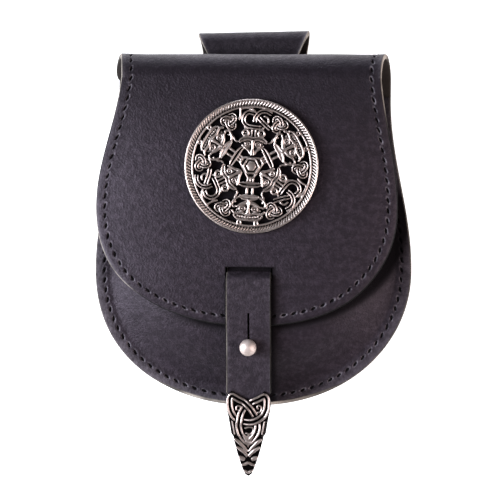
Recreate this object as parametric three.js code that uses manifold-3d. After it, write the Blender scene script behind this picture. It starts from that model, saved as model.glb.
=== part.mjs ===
// A belt bag of black leather with cast, silver-coloured mounts, lying on its back.
// Millimetres. +Z is up, out of the bag's front, +Y runs up the bag and +X is to the right of its front.
// The bag is drawn with the rear face of its back in the plane z = 0 and its bottom edge close to y = 0.
// It is then tipped up about that edge, because the belt loop lies under its upper half.

import * as THREE from "three";
import { mergeVertices } from "three/addons/utils/BufferGeometryUtils.js";
import Module from "manifold-3d";

const wasm = await Module();
wasm.setup();

// Leather
const LEATHER = 2.2; // thickness of every leather piece
const GAP = 0.3; // clearance between pieces that lie on each other
const CUT_PAST = 4; // how far cuts through the leather run past its faces

// Pouch, sewn from the back and the front panel
const POUCH_HALF_WIDTH = 71.8;
const POUCH_WIDEST_Y = 61;
const POUCH_BOTTOM_Y = -0.8;
const POUCH_ROUND_POWER = 2.12; // 2 would make its lower end an ellipse
const POUCH_LEAN = 0.9; // how far its lower end lies to the left
const MOUTH_HALF_WIDTH = 61.7;
const MOUTH_Y = 139;
const BORDER = 7; // flat, sewn border of the front panel
const POUCH_BULGE = 12; // rise of the front panel over its border
const POUCH_SHOULDER = 26; // distance in which it rises
const SHOULDER_STEPS = [0.22, 0.45, 0.66, 0.854, 1]; // one of them passes the stud

// Roll over the top of the bag, and flap
const BAG_TOP_Y = 158;
const FLAP_FRONT_Z = 23;
const FLAP_HALF_WIDTH = 67.9;
const FLAP_WIDEST_Y = 89;
const FLAP_TIP_Y = 36;
const FLAP_ROUND_POWER = 2.2;
const FLAP_NECK_HALF_WIDTH = 57.4;
const FLAP_NECK_Y = 155;
const FLAP_SIDE_DROOP = 6; // how far the flap's sides bend back
const FLAP_TIP_DROOP = 2.8; // how far its tip bends down
const FLAT_FLAP_Y = 105; // the sides bend fully back from here down
const FLAP_LEAN = 2.1; // how far its wide part lies to the left
const LAST_ROW_ANGLE = 0.1; // the round ends stop this short of their tips, in radians, with a short edge

// Closing strap
const STRAP_HALF_WIDTH = 10;
const STRAP_SLOPE = THREE.MathUtils.degToRad(6); // of its free end
const STRAP_BUTTONED = { y: 27, z: 20.6 }; // front face at the stud, where the free end starts
const STRAP_OVER_FLAP = [
  { y: 31, z: 21.5 },
  { y: 36.5, z: 22.95 },
  { y: 43, z: 24.3 },
  { y: 50, z: 25.15 },
];
const STRAP_BEND = { y: 57, length: 6 }; // where it dives through the flap
const STRAP_TAIL_Y = 94;
const SLOT = { lowY: 56.4, highY: 62.6, sideGap: 0.5 };
const SLIT = { lowY: 28, highY: 42.3, width: 0.9 };

// Stud
const STUD_Y = 29.2; // where it stands on the front panel
const STUD_HOLE = 2.6; // radius of the button hole
const STUD_POST = 1.9; // radius of its neck
const STUD_PANEL_HOLE = 2.5;
const STUD_BALL = 3.75; // radius of its head
const STUD_FOOT = 3.8; // radius of its foot and of its washer inside the bag
const STUD_PLATE = 0.9; // thickness of foot and washer
const STUD_WASHER_GAP = 0.8; // the panel curves away from the washer inside
const STUD_BALL_RISE = 7.9; // middle of the head over the panel

// Strap end, whose mouth is at its ear tips
const STRAP_END_Y = 7.4;
const STRAP_END_BODY = [
  { below: 0, half: 7.6, back: -2.3 },
  { below: 1.6, half: 9, back: -2.3 },
  { below: 5.5, half: 10, back: -2.3 },
  { below: 11.4, half: 9.3, back: -2.2 },
  { below: 20.7, half: 6.7, back: -1.4 },
  { below: 25.4, half: 5.4, back: -0.8 },
  { below: 31.6, half: 3.5, back: -0.2 },
  { below: 36, half: 2.3, back: 0.2 },
  { below: 38.5, half: 1, back: 0.6 },
];
const STRAP_END_FRONT = 2.3;
const STRAP_END_CHAMFER = 0.5;
const STRAP_END_NOTCH = { half: 6.8, depth: 4.4 };
const STRAP_END_RELIEF = 0.8; // rise of its ornament
const STRAP_END_KNOT = { across: 3, along: 4.6, below: 10.9, width: 2.3, weave: 0.25 };
const STRAP_END_RIDGES = [
  { width: 1.1, line: [[-5.6, -20.6], [-2.7, -24.4], [0, -27.4]] },
  { width: 1.1, line: [[0, -27.4], [2.7, -24.4], [5.6, -20.6]] },
  { width: 1, line: [[-2.6, -28.4], [0, -30.2], [2.6, -28.4]] },
  { width: 1, line: [[-2, -31.2], [0, -32.8], [2, -31.2]] },
];
const STRAP_END_SNOUT = { y: -35.4, low: 1.3, high: 0.9 };
const POCKET = { wideTo: 3.3, half: 8.65, depth: 9.5 };
const STRAP_TONGUE = [
  { below: 9, half: 6.6 },
  { below: 2.9, half: 8.3 },
  { below: 1, half: STRAP_HALF_WIDTH },
];

// Belt loop
const LIE_TILT = THREE.MathUtils.degToRad(4.5); // of the bag on the surface that it lies on
const LOOP_TOP_Y = 169.4;
const LOOP_FRONT_SEWN_Y = 127; // lower end of its front layer
const LOOP_FLAT_ROWS = [152, 142, 130, 116]; // rows of its flat rear layer
const LOOP_FLAT_TO_Y = 101; // the rear layer lies flat down to here
const LOOP_REAR_SEWN_Y = { high: 84, low: 68 };
const LOOP_SKEW = THREE.MathUtils.degToRad(1.4); // sewn on a little askew
const LOOP_WIDTHS = { frontEnd: 16, fold: 25.4, rearEnd: 18 }; // half widths
const LOOP_FOLD_SPREAD = { front: 17, rear: 30 }; // distances along the strip in which it widens to the fold

// Disc mount
const DISC_PLACE = new THREE.Vector2(0.85, 107.3);
const DISC_TURN = THREE.MathUtils.degToRad(-3.5); // riveted on a little turned
const DISC_RADIUS = 29.9;
const RIM_BEADS = 36;
const RIM_HEIGHT = 2.5;
const RIM_SECTION = [
  { inside: 4.1, height: 0 },
  { inside: 4.1, height: 1.5 },
  { inside: 3, height: 1.5 },
  { inside: 2.6, height: RIM_HEIGHT },
  { inside: 0.5, height: RIM_HEIGHT },
  { inside: 0, height: 0 },
];
const RIM_NOTCH = 0.5; // depth between the beads of its corded rim
const KNOT_PLACE = 21.8; // from the disc's centre
const KNOT_SIZE = 1.13; // of the knots' curve, whose lobes reach three times as far
const RING_PLACE = { across: 2.6, out: 20.9 };
const RING_RADIUS = 3.3;
const RIBBON = { width: 1.5, crest: 1.9, weave: 0.35 };
const RIBBON_CREST_PART = 0.72; // of a ribbon's width that its flat crest takes
const BOSS = [
  // In the middle of the disc: a triangle, a hexagon and a dome
  { sides: 3, height: 1.5, low: 6, high: 5.6 },
  { sides: 6, height: 2.1, low: 4.2, high: 3.9 },
  { sides: 6, height: 2.9, low: 3, high: 1.6 },
];
const POST = { out: 19.4, radius: 1.4, head: 2.4, headHeight: 0.8 };

// Colours
const blackLeather = { color: 0x39343c, roughness: 0.55, metalness: 0 };
const antiqueSilver = { color: 0xb5aca4, roughness: 0.35, metalness: 1 };

// A smooth step from 0 to 1 while value goes from start to end
function blend(value, start, end) {
  const part = THREE.MathUtils.clamp((value - start) / (end - start), 0, 1);
  return (1 - Math.cos(Math.PI * part)) / 2;
}

// Same points as one vertex, and no triangle without area
function weld(geometry) {
  geometry.deleteAttribute("normal");
  geometry.deleteAttribute("uv");
  const merged = mergeVertices(geometry, 1e-3);
  const kept = [];
  for (let i = 0; i < merged.index.count; i += 3) {
    const [a, b, c] = merged.index.array.slice(i, i + 3);
    if (a !== b && b !== c && c !== a) kept.push(a, b, c);
  }
  merged.setIndex(kept);
  return merged;
}

function geometryOf(points, index) {
  return new THREE.BufferGeometry().setFromPoints(points).setIndex(index);
}

function solid(geometry) {
  const { attributes, index } = weld(geometry);
  const vertProperties = attributes.position.array;
  const triVerts = new Uint32Array(index.array);
  return new wasm.Manifold(new wasm.Mesh({ numProp: 3, vertProperties, triVerts }));
}

function fused(geometries) {
  return geometries.map(solid).reduce((whole, piece) => whole.add(piece));
}

function geometryFrom(manifold) {
  const { vertProperties, triVerts } = manifold.getMesh();
  const geometry = new THREE.BufferGeometry();
  geometry.setAttribute("position", new THREE.BufferAttribute(vertProperties, 3));
  return geometry.setIndex(new THREE.BufferAttribute(triVerts, 1));
}

// Closed solid through sections, each a ring of points that runs anticlockwise seen from ahead
function loft(sections, closed = false) {
  const size = sections[0].length;
  const index = [];
  const spans = closed ? sections.length : sections.length - 1;
  for (let i = 0; i < spans; i++) {
    const here = i * size;
    const next = ((i + 1) % sections.length) * size;
    for (let j = 0; j < size; j++) {
      const k = (j + 1) % size;
      index.push(here + j, here + k, next + k, here + j, next + k, next + j);
    }
  }
  if (!closed) {
    const last = (sections.length - 1) * size;
    for (let j = 2; j < size; j++) index.push(0, j, j - 1, last, last + j - 1, last + j);
  }
  return geometryOf(sections.flat(), index);
}

// Wall of leather behind the outer face that a grid of points gives
function leatherWall(grid) {
  const columns = grid[0].length;
  const index = [];
  for (let i = 0; i + 1 < grid.length; i++) {
    for (let j = 0; j + 1 < columns; j++) {
      const a = i * columns + j;
      const b = a + columns;
      index.push(a, b, b + 1, a, b + 1, a + 1);
    }
  }
  const face = weld(geometryOf(grid.flat(), index));
  face.computeVertexNormals();
  const { position, normal } = face.attributes;
  const outer = [];
  const inner = [];
  for (let i = 0; i < position.count; i++) {
    const inwards = new THREE.Vector3().fromBufferAttribute(normal, i).multiplyScalar(-LEATHER);
    outer.push(new THREE.Vector3().fromBufferAttribute(position, i));
    inner.push(outer[i].clone().add(inwards));
  }
  const triangles = Array.from(face.index.array);
  const edges = new Set();
  for (let i = 0; i < triangles.length; i += 3) {
    for (let k = 0; k < 3; k++) edges.add(`${triangles[i + k]} ${triangles[i + ((k + 1) % 3)]}`);
  }
  const under = position.count;
  const walls = [];
  for (let i = 0; i < triangles.length; i += 3) {
    const [a, b, c] = triangles.slice(i, i + 3);
    walls.push(a, b, c, under + c, under + b, under + a);
    for (const [p, q] of [[a, b], [b, c], [c, a]]) {
      if (!edges.has(`${q} ${p}`)) walls.push(q, p, under + p, q, under + p, under + q);
    }
  }
  return geometryOf([...outer, ...inner], walls);
}

// Strip of leather along a line in the plane x = 0, whose rows give the outer face and the half width there
function leatherStrip(rows) {
  const sections = rows.map((row, i) => {
    const before = rows[Math.max(i - 1, 0)];
    const after = rows[Math.min(i + 1, rows.length - 1)];
    const along = new THREE.Vector2(after.y - before.y, after.z - before.z).normalize();
    const innerY = row.y + along.y * LEATHER;
    const innerZ = row.z - along.x * LEATHER;
    return [
      new THREE.Vector3(-row.half, innerY, innerZ),
      new THREE.Vector3(-row.half, row.y, row.z),
      new THREE.Vector3(row.half, row.y, row.z),
      new THREE.Vector3(row.half, innerY, innerZ),
    ];
  });
  return loft(sections);
}

function block(width, lowY, highY, lowZ, highZ) {
  const box = new THREE.BoxGeometry(width, highY - lowY, highZ - lowZ);
  return box.translate(0, (lowY + highY) / 2, (lowZ + highZ) / 2);
}

// Upright round or many-sided pillar, with a corner towards -Y
function pillar(x, y, lowZ, highZ, lowRadius, highRadius, sides) {
  const shape = new THREE.CylinderGeometry(highRadius, lowRadius, highZ - lowZ, sides);
  return shape.rotateX(Math.PI / 2).translate(x, y, (lowZ + highZ) / 2);
}

// Half width and height of a round end at an angle from its tip
function roundEnd(angle, half, height, power) {
  return {
    half: half * Math.sin(angle) ** (2 / power),
    rise: height * (1 - Math.cos(angle) ** (2 / power)),
  };
}

function endAngles(steps) {
  const angles = [];
  for (let i = 0; i <= steps; i++) angles.push(THREE.MathUtils.lerp(LAST_ROW_ANGLE, Math.PI / 2, i / steps));
  return angles;
}

function pouchHalfWidth(y) {
  return THREE.MathUtils.lerp(POUCH_HALF_WIDTH, MOUTH_HALF_WIDTH, blend(y, POUCH_WIDEST_Y, MOUTH_Y));
}

function pouchEnd(angle) {
  const height = POUCH_WIDEST_Y - POUCH_BOTTOM_Y;
  const { half, rise } = roundEnd(angle, POUCH_HALF_WIDTH, height, POUCH_ROUND_POWER);
  return { half, y: POUCH_BOTTOM_Y + rise };
}

function pouchMiddle(y) {
  return -POUCH_LEAN * blend(y, POUCH_WIDEST_Y, POUCH_WIDEST_Y / 4);
}

function flapHalfWidth(y) {
  return THREE.MathUtils.lerp(FLAP_NECK_HALF_WIDTH, FLAP_HALF_WIDTH, blend(y, FLAP_NECK_Y, FLAP_WIDEST_Y));
}

function flapMiddle(y) {
  const wide = blend(y, FLAP_NECK_Y, FLAP_WIDEST_Y) * blend(y, FLAP_TIP_Y, SLOT.highY);
  return -FLAP_LEAN * wide;
}

function flapFront(x, y) {
  const tip = THREE.MathUtils.clamp((SLOT.highY - y) / (SLOT.highY - FLAP_TIP_Y), 0, 1);
  const side = (Math.abs(x) / FLAP_HALF_WIDTH) ** 3 * blend(y, BAG_TOP_Y, FLAT_FLAP_Y);
  return FLAP_FRONT_Z - FLAP_TIP_DROOP * tip ** 1.5 - FLAP_SIDE_DROOP * side;
}

// Back, roll and flap are one piece: rows run up the back, over the roll and down the flap
function backAndFlap() {
  const rollRadius = FLAP_FRONT_Z / 2;
  const rollY = BAG_TOP_Y - rollRadius;
  const rows = endAngles(9).map((angle) => ({ ...pouchEnd(angle), place: () => 0 }));
  const backSteps = 5;
  for (let i = 1; i <= backSteps; i++) {
    const y = THREE.MathUtils.lerp(POUCH_WIDEST_Y, rollY, i / backSteps);
    rows.push({ half: pouchHalfWidth(y), y, place: () => 0 });
  }
  const rollSteps = 10;
  for (let i = 1; i < rollSteps; i++) {
    const turn = (Math.PI * i) / rollSteps;
    const half = THREE.MathUtils.lerp(pouchHalfWidth(rollY), flapHalfWidth(rollY), blend(turn, 0, Math.PI));
    const z = rollRadius * (1 - Math.cos(turn));
    rows.push({ half, y: rollY + rollRadius * Math.sin(turn), place: () => z });
  }
  const flapSteps = 6;
  for (let i = 0; i < flapSteps; i++) {
    const y = THREE.MathUtils.lerp(rollY, FLAP_WIDEST_Y, i / flapSteps);
    rows.push({ half: flapHalfWidth(y), y, place: flapFront });
  }
  for (const angle of endAngles(9).reverse()) {
    const { half, rise } = roundEnd(angle, FLAP_HALF_WIDTH, FLAP_WIDEST_Y - FLAP_TIP_Y, FLAP_ROUND_POWER);
    rows.push({ half, y: FLAP_TIP_Y + rise, place: flapFront });
  }
  const columns = 10;
  const grid = rows.map((row) => {
    const line = [];
    for (let j = 0; j <= columns; j++) {
      const x = row.half * THREE.MathUtils.lerp(-1, 1, j / columns);
      const middle = row.place === flapFront ? flapMiddle(row.y) : pouchMiddle(row.y);
      line.push(new THREE.Vector3(middle + x, row.y, row.place(x, row.y)));
    }
    return line;
  });
  const slotWidth = 2 * (STRAP_HALF_WIDTH + SLOT.sideGap);
  let piece = solid(leatherWall(grid));
  const lowest = FLAP_FRONT_Z - CUT_PAST;
  const highest = FLAP_FRONT_Z + CUT_PAST;
  piece = piece.subtract(solid(block(slotWidth, SLOT.lowY, SLOT.highY, lowest, highest)));
  for (const post of discPosts()) {
    const radius = POST.radius + GAP;
    const { x, y } = onFlap(post);
    const hole = pillar(x, y, lowest, highest, radius, radius, 12);
    piece = piece.subtract(solid(hole));
  }
  return geometryFrom(piece);
}

function panelRise(fromEdge) {
  const part = THREE.MathUtils.clamp((fromEdge - BORDER) / POUCH_SHOULDER, 0, 1);
  return POUCH_BULGE * Math.sin((part * Math.PI) / 2);
}

const BORDER_FRONT_Z = LEATHER + GAP + LEATHER;

// Front panel: rays run in from its sewn edge to the middle line, over the flat border and up the bulge
function frontPanel() {
  const sideSteps = 5;
  const right = endAngles(9).map(pouchEnd);
  for (let i = 1; i <= sideSteps; i++) {
    const y = THREE.MathUtils.lerp(POUCH_WIDEST_Y, MOUTH_Y, i / sideSteps);
    right.push({ half: pouchHalfWidth(y), y });
  }
  const left = right.map(({ half, y }) => ({ half: -half, y })).reverse();
  const shoulder = SHOULDER_STEPS.map((part) => BORDER + POUCH_SHOULDER * part);
  const grid = [...left, ...right].map(({ half, y }) => {
    const edge = new THREE.Vector2(half, y);
    const middle = new THREE.Vector2(0, Math.max(y, POUCH_WIDEST_Y));
    const inwards = middle.clone().sub(edge).normalize();
    const line = [0, BORDER, ...shoulder].map((fromEdge) => {
      const { x, y: along } = edge.clone().addScaledVector(inwards, fromEdge);
      return new THREE.Vector3(x + pouchMiddle(along), along, BORDER_FRONT_Z + panelRise(fromEdge));
    });
    return [...line, new THREE.Vector3(0, middle.y, BORDER_FRONT_Z + POUCH_BULGE)];
  });
  const hole = pillar(0, STUD_Y, 0, 2 * FLAP_FRONT_Z, STUD_PANEL_HOLE, STUD_PANEL_HOLE, 14);
  return geometryFrom(solid(leatherWall(grid)).subtract(solid(hole)));
}

// Belt loop: from its sewn front end up, over the fold, down its flat rear layer and in to the back
function beltLoop() {
  const sine = Math.sin(LIE_TILT);
  const cosine = Math.cos(LIE_TILT);
  const floorZ = (y) => (POUCH_BOTTOM_Y - y) * Math.tan(LIE_TILT);
  // The fold touches the front layer's face at z = -GAP and the floor
  const foldRadius = ((LOOP_TOP_Y - POUCH_BOTTOM_Y) * sine - GAP * cosine) / (1 + cosine + sine);
  const foldY = LOOP_TOP_Y - foldRadius;
  const foldZ = -GAP - foldRadius;
  const rows = [
    { y: LOOP_FRONT_SEWN_Y, z: -GAP },
    { y: (LOOP_FRONT_SEWN_Y + foldY) / 2, z: -GAP },
    { y: BAG_TOP_Y, z: -GAP },
  ];
  const foldSteps = 10;
  for (let i = 0; i <= foldSteps; i++) {
    const turn = ((Math.PI + LIE_TILT) * i) / foldSteps;
    rows.push({ y: foldY + foldRadius * Math.sin(turn), z: foldZ + foldRadius * Math.cos(turn) });
  }
  for (const y of LOOP_FLAT_ROWS) rows.push({ y, z: floorZ(y) });
  const rearZ = -GAP - LEATHER;
  const inSteps = 7;
  for (let i = 0; i <= inSteps; i++) {
    const y = THREE.MathUtils.lerp(LOOP_FLAT_TO_Y, LOOP_REAR_SEWN_Y.high, i / inSteps);
    const part = blend(i, 0, inSteps);
    rows.push({ y, z: THREE.MathUtils.lerp(floorZ(LOOP_FLAT_TO_Y), rearZ, part) });
  }
  rows.push({ y: LOOP_REAR_SEWN_Y.low, z: rearZ });
  let along = 0;
  rows.forEach((row, i) => {
    if (i > 0) along += Math.hypot(row.y - rows[i - 1].y, row.z - rows[i - 1].z);
    row.along = along;
  });
  const fold = rows.find((row) => row.y === Math.max(...rows.map(({ y }) => y))).along;
  for (const row of rows) {
    const front = row.along < fold;
    const end = front ? LOOP_WIDTHS.frontEnd : LOOP_WIDTHS.rearEnd;
    const spread = front ? LOOP_FOLD_SPREAD.front : LOOP_FOLD_SPREAD.rear;
    const near = Math.exp(-(((row.along - fold) / spread) ** 2));
    row.half = THREE.MathUtils.lerp(end, LOOP_WIDTHS.fold, near);
  }
  return leatherStrip(rows);
}

function freeStrapFront(y) {
  return STRAP_BUTTONED.z - (STRAP_BUTTONED.y - y) * Math.tan(STRAP_SLOPE);
}

// Strap: from its tongue in the metal end up to the stud, over the flap, through the slot and to its tail
function closingStrap() {
  const rows = STRAP_TONGUE.map(({ below, half }) => {
    const y = STRAP_END_Y - below;
    return { y, z: freeStrapFront(y), half };
  });
  for (const { y, z } of [STRAP_BUTTONED, ...STRAP_OVER_FLAP]) rows.push({ y, z, half: STRAP_HALF_WIDTH });
  const overZ = FLAP_FRONT_Z + GAP + LEATHER;
  const underZ = FLAP_FRONT_Z - LEATHER - GAP;
  const bendSteps = 7;
  for (let i = 0; i <= bendSteps; i++) {
    const y = STRAP_BEND.y + (STRAP_BEND.length * i) / bendSteps;
    const z = THREE.MathUtils.lerp(overZ, underZ, blend(i, 0, bendSteps));
    rows.push({ y, z, half: STRAP_HALF_WIDTH });
  }
  rows.push({ y: STRAP_TAIL_Y, z: underZ, half: STRAP_HALF_WIDTH });
  const lowest = STRAP_BUTTONED.z - LEATHER - CUT_PAST;
  const highest = FLAP_FRONT_Z + LEATHER + CUT_PAST;
  const neckMiddle = STUD_BALL_RISE / 2;
  const axisY = STUD_Y - neckMiddle * Math.sin(panelSlope());
  const hole = pillar(0, axisY, lowest, highest, STUD_HOLE, STUD_HOLE, 14);
  const slit = block(SLIT.width, SLIT.lowY, SLIT.highY, lowest, highest);
  const lowPost = onFlap(discPosts()[0]);
  const postHole = POST.radius + GAP;
  const rivet = pillar(lowPost.x, lowPost.y, lowest, highest, postHole, postHole, 12);
  const strap = solid(leatherStrip(rows));
  return geometryFrom(strap.subtract(fused([hole, slit])).subtract(solid(rivet)));
}

// Slope of the front panel under the stud
function panelSlope() {
  const step = 0.5;
  return Math.atan2(panelRise(STUD_Y + step) - panelRise(STUD_Y - step), 2 * step);
}

// Stud, turned about +Y with the panel's outer face at y = 0
function buttonStud() {
  const inside = -LEATHER - STUD_WASHER_GAP;
  const profile = [
    [0, inside - STUD_PLATE],
    [STUD_FOOT, inside - STUD_PLATE],
    [STUD_FOOT, inside],
    [STUD_POST, inside],
    [STUD_POST, GAP],
    [STUD_FOOT, GAP],
    [STUD_FOOT * 0.8, GAP + STUD_PLATE],
    [STUD_POST, GAP + STUD_PLATE],
  ].map(([x, y]) => new THREE.Vector2(x, y));
  const neck = Math.asin(STUD_POST / STUD_BALL);
  const ballSteps = 7;
  for (let i = 0; i <= ballSteps; i++) {
    const turn = THREE.MathUtils.lerp(neck, Math.PI, i / ballSteps);
    const x = i === ballSteps ? 0 : STUD_BALL * Math.sin(turn);
    profile.push(new THREE.Vector2(x, STUD_BALL_RISE - STUD_BALL * Math.cos(turn)));
  }
  return weld(new THREE.LatheGeometry(profile, 14).rotateX(Math.PI / 2));
}

// Sections of a casting's raised ribbon along a plane line, flat below, with a crest for each of its points
function ribbonSections(line, crests, { width, base = 0, closed = false }) {
  const count = line.length;
  return line.map((point, i) => {
    const before = closed ? line[(i + count - 1) % count] : line[Math.max(i - 1, 0)];
    const after = closed ? line[(i + 1) % count] : line[Math.min(i + 1, count - 1)];
    const along = after.clone().sub(before).normalize();
    const left = new THREE.Vector2(-along.y, along.x);
    const corner = (side, height) => {
      const { x, y } = point.clone().addScaledVector(left, (side * width) / 2);
      return new THREE.Vector3(x, y, height);
    };
    return [
      corner(1, base),
      corner(RIBBON_CREST_PART, crests[i]),
      corner(-RIBBON_CREST_PART, crests[i]),
      corner(-1, base),
    ];
  });
}

// Ribbon through a few points, smoothed
function curvedRibbon({ line, width, crest, base }) {
  const points = line.map(([x, y]) => new THREE.Vector2(x, y));
  const steps = points.length === 3 ? 4 : points.length - 1;
  const curve = new THREE.SplineCurve(points).getPoints(steps);
  return loft(ribbonSections(curve, curve.map(() => crest), { width, base }));
}

// Three-lobed knot with one lobe towards -Y, woven over and under, as three ribbons from lobe to lobe
function knot(sizeX, sizeY, stepsEach, { width, base, crest, weave }) {
  const line = [];
  const crests = [];
  const steps = 3 * stepsEach;
  for (let i = 0; i < steps; i++) {
    const t = Math.PI / 3 + (2 * Math.PI * i) / steps;
    const x = Math.sin(t) + 2 * Math.sin(2 * t);
    const y = Math.cos(t) - 2 * Math.cos(2 * t);
    line.push(new THREE.Vector2(sizeX * x, sizeY * y));
    crests.push(crest + weave * Math.sin(3 * t));
  }
  const sections = ribbonSections(line, crests, { width, base, closed: true });
  const around = [...sections, sections[0]];
  return [0, 1, 2].map((lobe) => loft(around.slice(lobe * stepsEach, (lobe + 1) * stepsEach + 1)));
}

function ring(x, y, radius, steps, { width, crest, weave }) {
  const line = [];
  const crests = [];
  for (let i = 0; i < steps; i++) {
    const t = (2 * Math.PI * i) / steps;
    line.push(new THREE.Vector2(x + radius * Math.cos(t), y + radius * Math.sin(t)));
    crests.push(crest + weave * Math.sin(t));
  }
  return loft(ribbonSections(line, crests, { width, closed: true }), true);
}

function plate(outline, height) {
  const shape = new THREE.Shape(outline.map(([x, y]) => new THREE.Vector2(x, y)));
  return new THREE.ExtrudeGeometry(shape, { depth: height, bevelEnabled: false });
}

// Strap end in its own frame: ear tips at y = 0, its point towards -Y, the strap's middle plane at z = 0
function strapEnd() {
  const chamfer = STRAP_END_CHAMFER;
  const front = STRAP_END_FRONT;
  const sections = STRAP_END_BODY.map(({ below, half, back }) =>
    [
      [half, back + chamfer],
      [half, front - chamfer],
      [half - chamfer, front],
      [chamfer - half, front],
      [-half, front - chamfer],
      [-half, back + chamfer],
      [chamfer - half, back],
      [half - chamfer, back],
    ].map(([x, z]) => new THREE.Vector3(x, -below, z)),
  );
  const { half, depth } = STRAP_END_NOTCH;
  const notch = new THREE.Shape();
  notch.moveTo(-half, 1);
  notch.lineTo(-half, 0);
  notch.quadraticCurveTo(-half * 0.3, -depth * 0.8, 0, -depth);
  notch.quadraticCurveTo(half * 0.3, -depth * 0.8, half, 0);
  notch.lineTo(half, 1);
  const notchCut = new THREE.ExtrudeGeometry(notch, { depth: 10, bevelEnabled: false, curveSegments: 5 });
  const hollow = LEATHER / 2 + GAP;
  const pocket = fused([
    block(4 * STRAP_HALF_WIDTH, -POCKET.wideTo, 1, -hollow, hollow),
    block(2 * POCKET.half, -POCKET.depth, 1, -hollow, hollow),
  ]);
  const base = (hollow + front) / 2;
  const crest = front + STRAP_END_RELIEF;
  const { across, along, below, width, weave } = STRAP_END_KNOT;
  const lobes = knot(across, along, 10, { width, base, crest, weave });
  const { y: snoutY, low, high } = STRAP_END_SNOUT;
  const relief = [
    ...lobes.map((lobe) => lobe.translate(0, -below, 0)),
    ...STRAP_END_RIDGES.map((ridge) => curvedRibbon({ ...ridge, crest, base })),
    pillar(0, snoutY, base, crest, low, high, 8),
  ];
  const body = solid(loft(sections)).subtract(pocket).subtract(solid(notchCut.translate(0, 0, -5)));
  return geometryFrom(relief.map(solid).reduce((whole, piece) => whole.add(piece), body));
}

// The disc's motifs, drawn with their axis along +Y: x across it, y out from the disc's centre
const OUTER_MASK = [
  // Collar bars of the arm that carries it
  { width: 3.2, crest: 1.6, line: [[0, 4.4], [0, 7.4]] },
  { width: 2.2, crest: 2, line: [[-4.5, 7.7], [0, 8.4], [4.5, 7.7]] },
  { width: 1.2, crest: 1.5, line: [[0.95, 9], [0.95, 13.4]], both: true },
  { width: 2.2, crest: 2, line: [[-4.6, 13.5], [0, 14.2], [4.6, 13.5]] },
  // Nose, brows, curls beside the face, moustache and feet
  { width: 1.2, crest: 2.3, line: [[0, 14.6], [0, 21.4]] },
  { width: 1.1, crest: 2.1, line: [[0.6, 16], [3.4, 16.7], [5.4, 19.6]], both: true },
  { width: 1.1, crest: 1.7, line: [[4.4, 14], [7, 16], [7.2, 19.6]], both: true },
  { width: 2, crest: 2, line: [[-8, 20.2], [-4.2, 22.3], [0, 21.8], [4.2, 22.3], [8, 20.2]] },
  { width: 1.4, crest: 1.6, line: [[3.2, 22.2], [3.5, 26.2]], both: true },
];
const OUTER_MASK_FACE = [[0, 15], [4.2, 18], [4.6, 20.6], [0, 22], [-4.6, 20.6], [-4.2, 18]];
const OUTER_MASK_EYE = { x: 2.4, y: 18.9, radius: 1.2 };
const INNER_MASK = [
  // Nose ridge and brow band
  { width: 1, crest: 2.2, line: [[0, 3.4], [0, 12]] },
  { width: 1.5, crest: 2.1, line: [[-5.2, 10.9], [-2.6, 12.7], [0, 12.2], [2.6, 12.7], [5.2, 10.9]] },
];
const INNER_MASK_FACE = [[0, 3.2], [1.7, 6.2], [3.5, 9.3], [2.8, 12], [-2.8, 12], [-3.5, 9.3], [-1.7, 6.2]];
const INNER_MASK_EYE = { x: 1.9, y: 9.4, radius: 1.05 };
const INNER_MASK_EAR = { x: 2.6, y: 15.2, radius: 1.7 };
const FACE_HEIGHT = 1.4;
const EYE_HEIGHT = 2.1;
const OUTER_MASK_TURNS = [180, 300, 60]; // degrees from +Y
const INNER_MASK_TURNS = [0, 120, 240];
const KNOT_TURNS = [30, 90, 150, 210, 270, 330];

function discPosts() {
  return OUTER_MASK_TURNS.map((turn) => {
    const angle = THREE.MathUtils.degToRad(turn + 90);
    return { x: POST.out * Math.cos(angle), y: POST.out * Math.sin(angle) };
  });
}

// Point of the disc on the flap
function onFlap({ x, y }) {
  return new THREE.Vector2(x, y).rotateAround(new THREE.Vector2(), DISC_TURN).add(DISC_PLACE);
}

function ribbonsOf(rows) {
  return rows.flatMap((row) => {
    const mirrored = { ...row, line: row.line.map(([x, y]) => [-x, y]) };
    return (row.both ? [row, mirrored] : [row]).map(curvedRibbon);
  });
}

function eyes({ x, y, radius }) {
  return [x, -x].map((side) => pillar(side, y, 0, EYE_HEIGHT, radius, radius * 0.6, 6));
}

function discRim() {
  const steps = 2 * RIM_BEADS;
  const sections = [];
  for (let i = 0; i < steps; i++) {
    const angle = (2 * Math.PI * i) / steps;
    const notch = i % 2 ? RIM_NOTCH : 0;
    sections.push(
      RIM_SECTION.map(({ inside, height }) => {
        const radius = DISC_RADIUS - inside;
        const z = height === RIM_HEIGHT ? height - notch : height;
        return new THREE.Vector3(radius * Math.cos(angle), radius * Math.sin(angle), z);
      }),
    );
  }
  return loft(sections, true);
}

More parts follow.
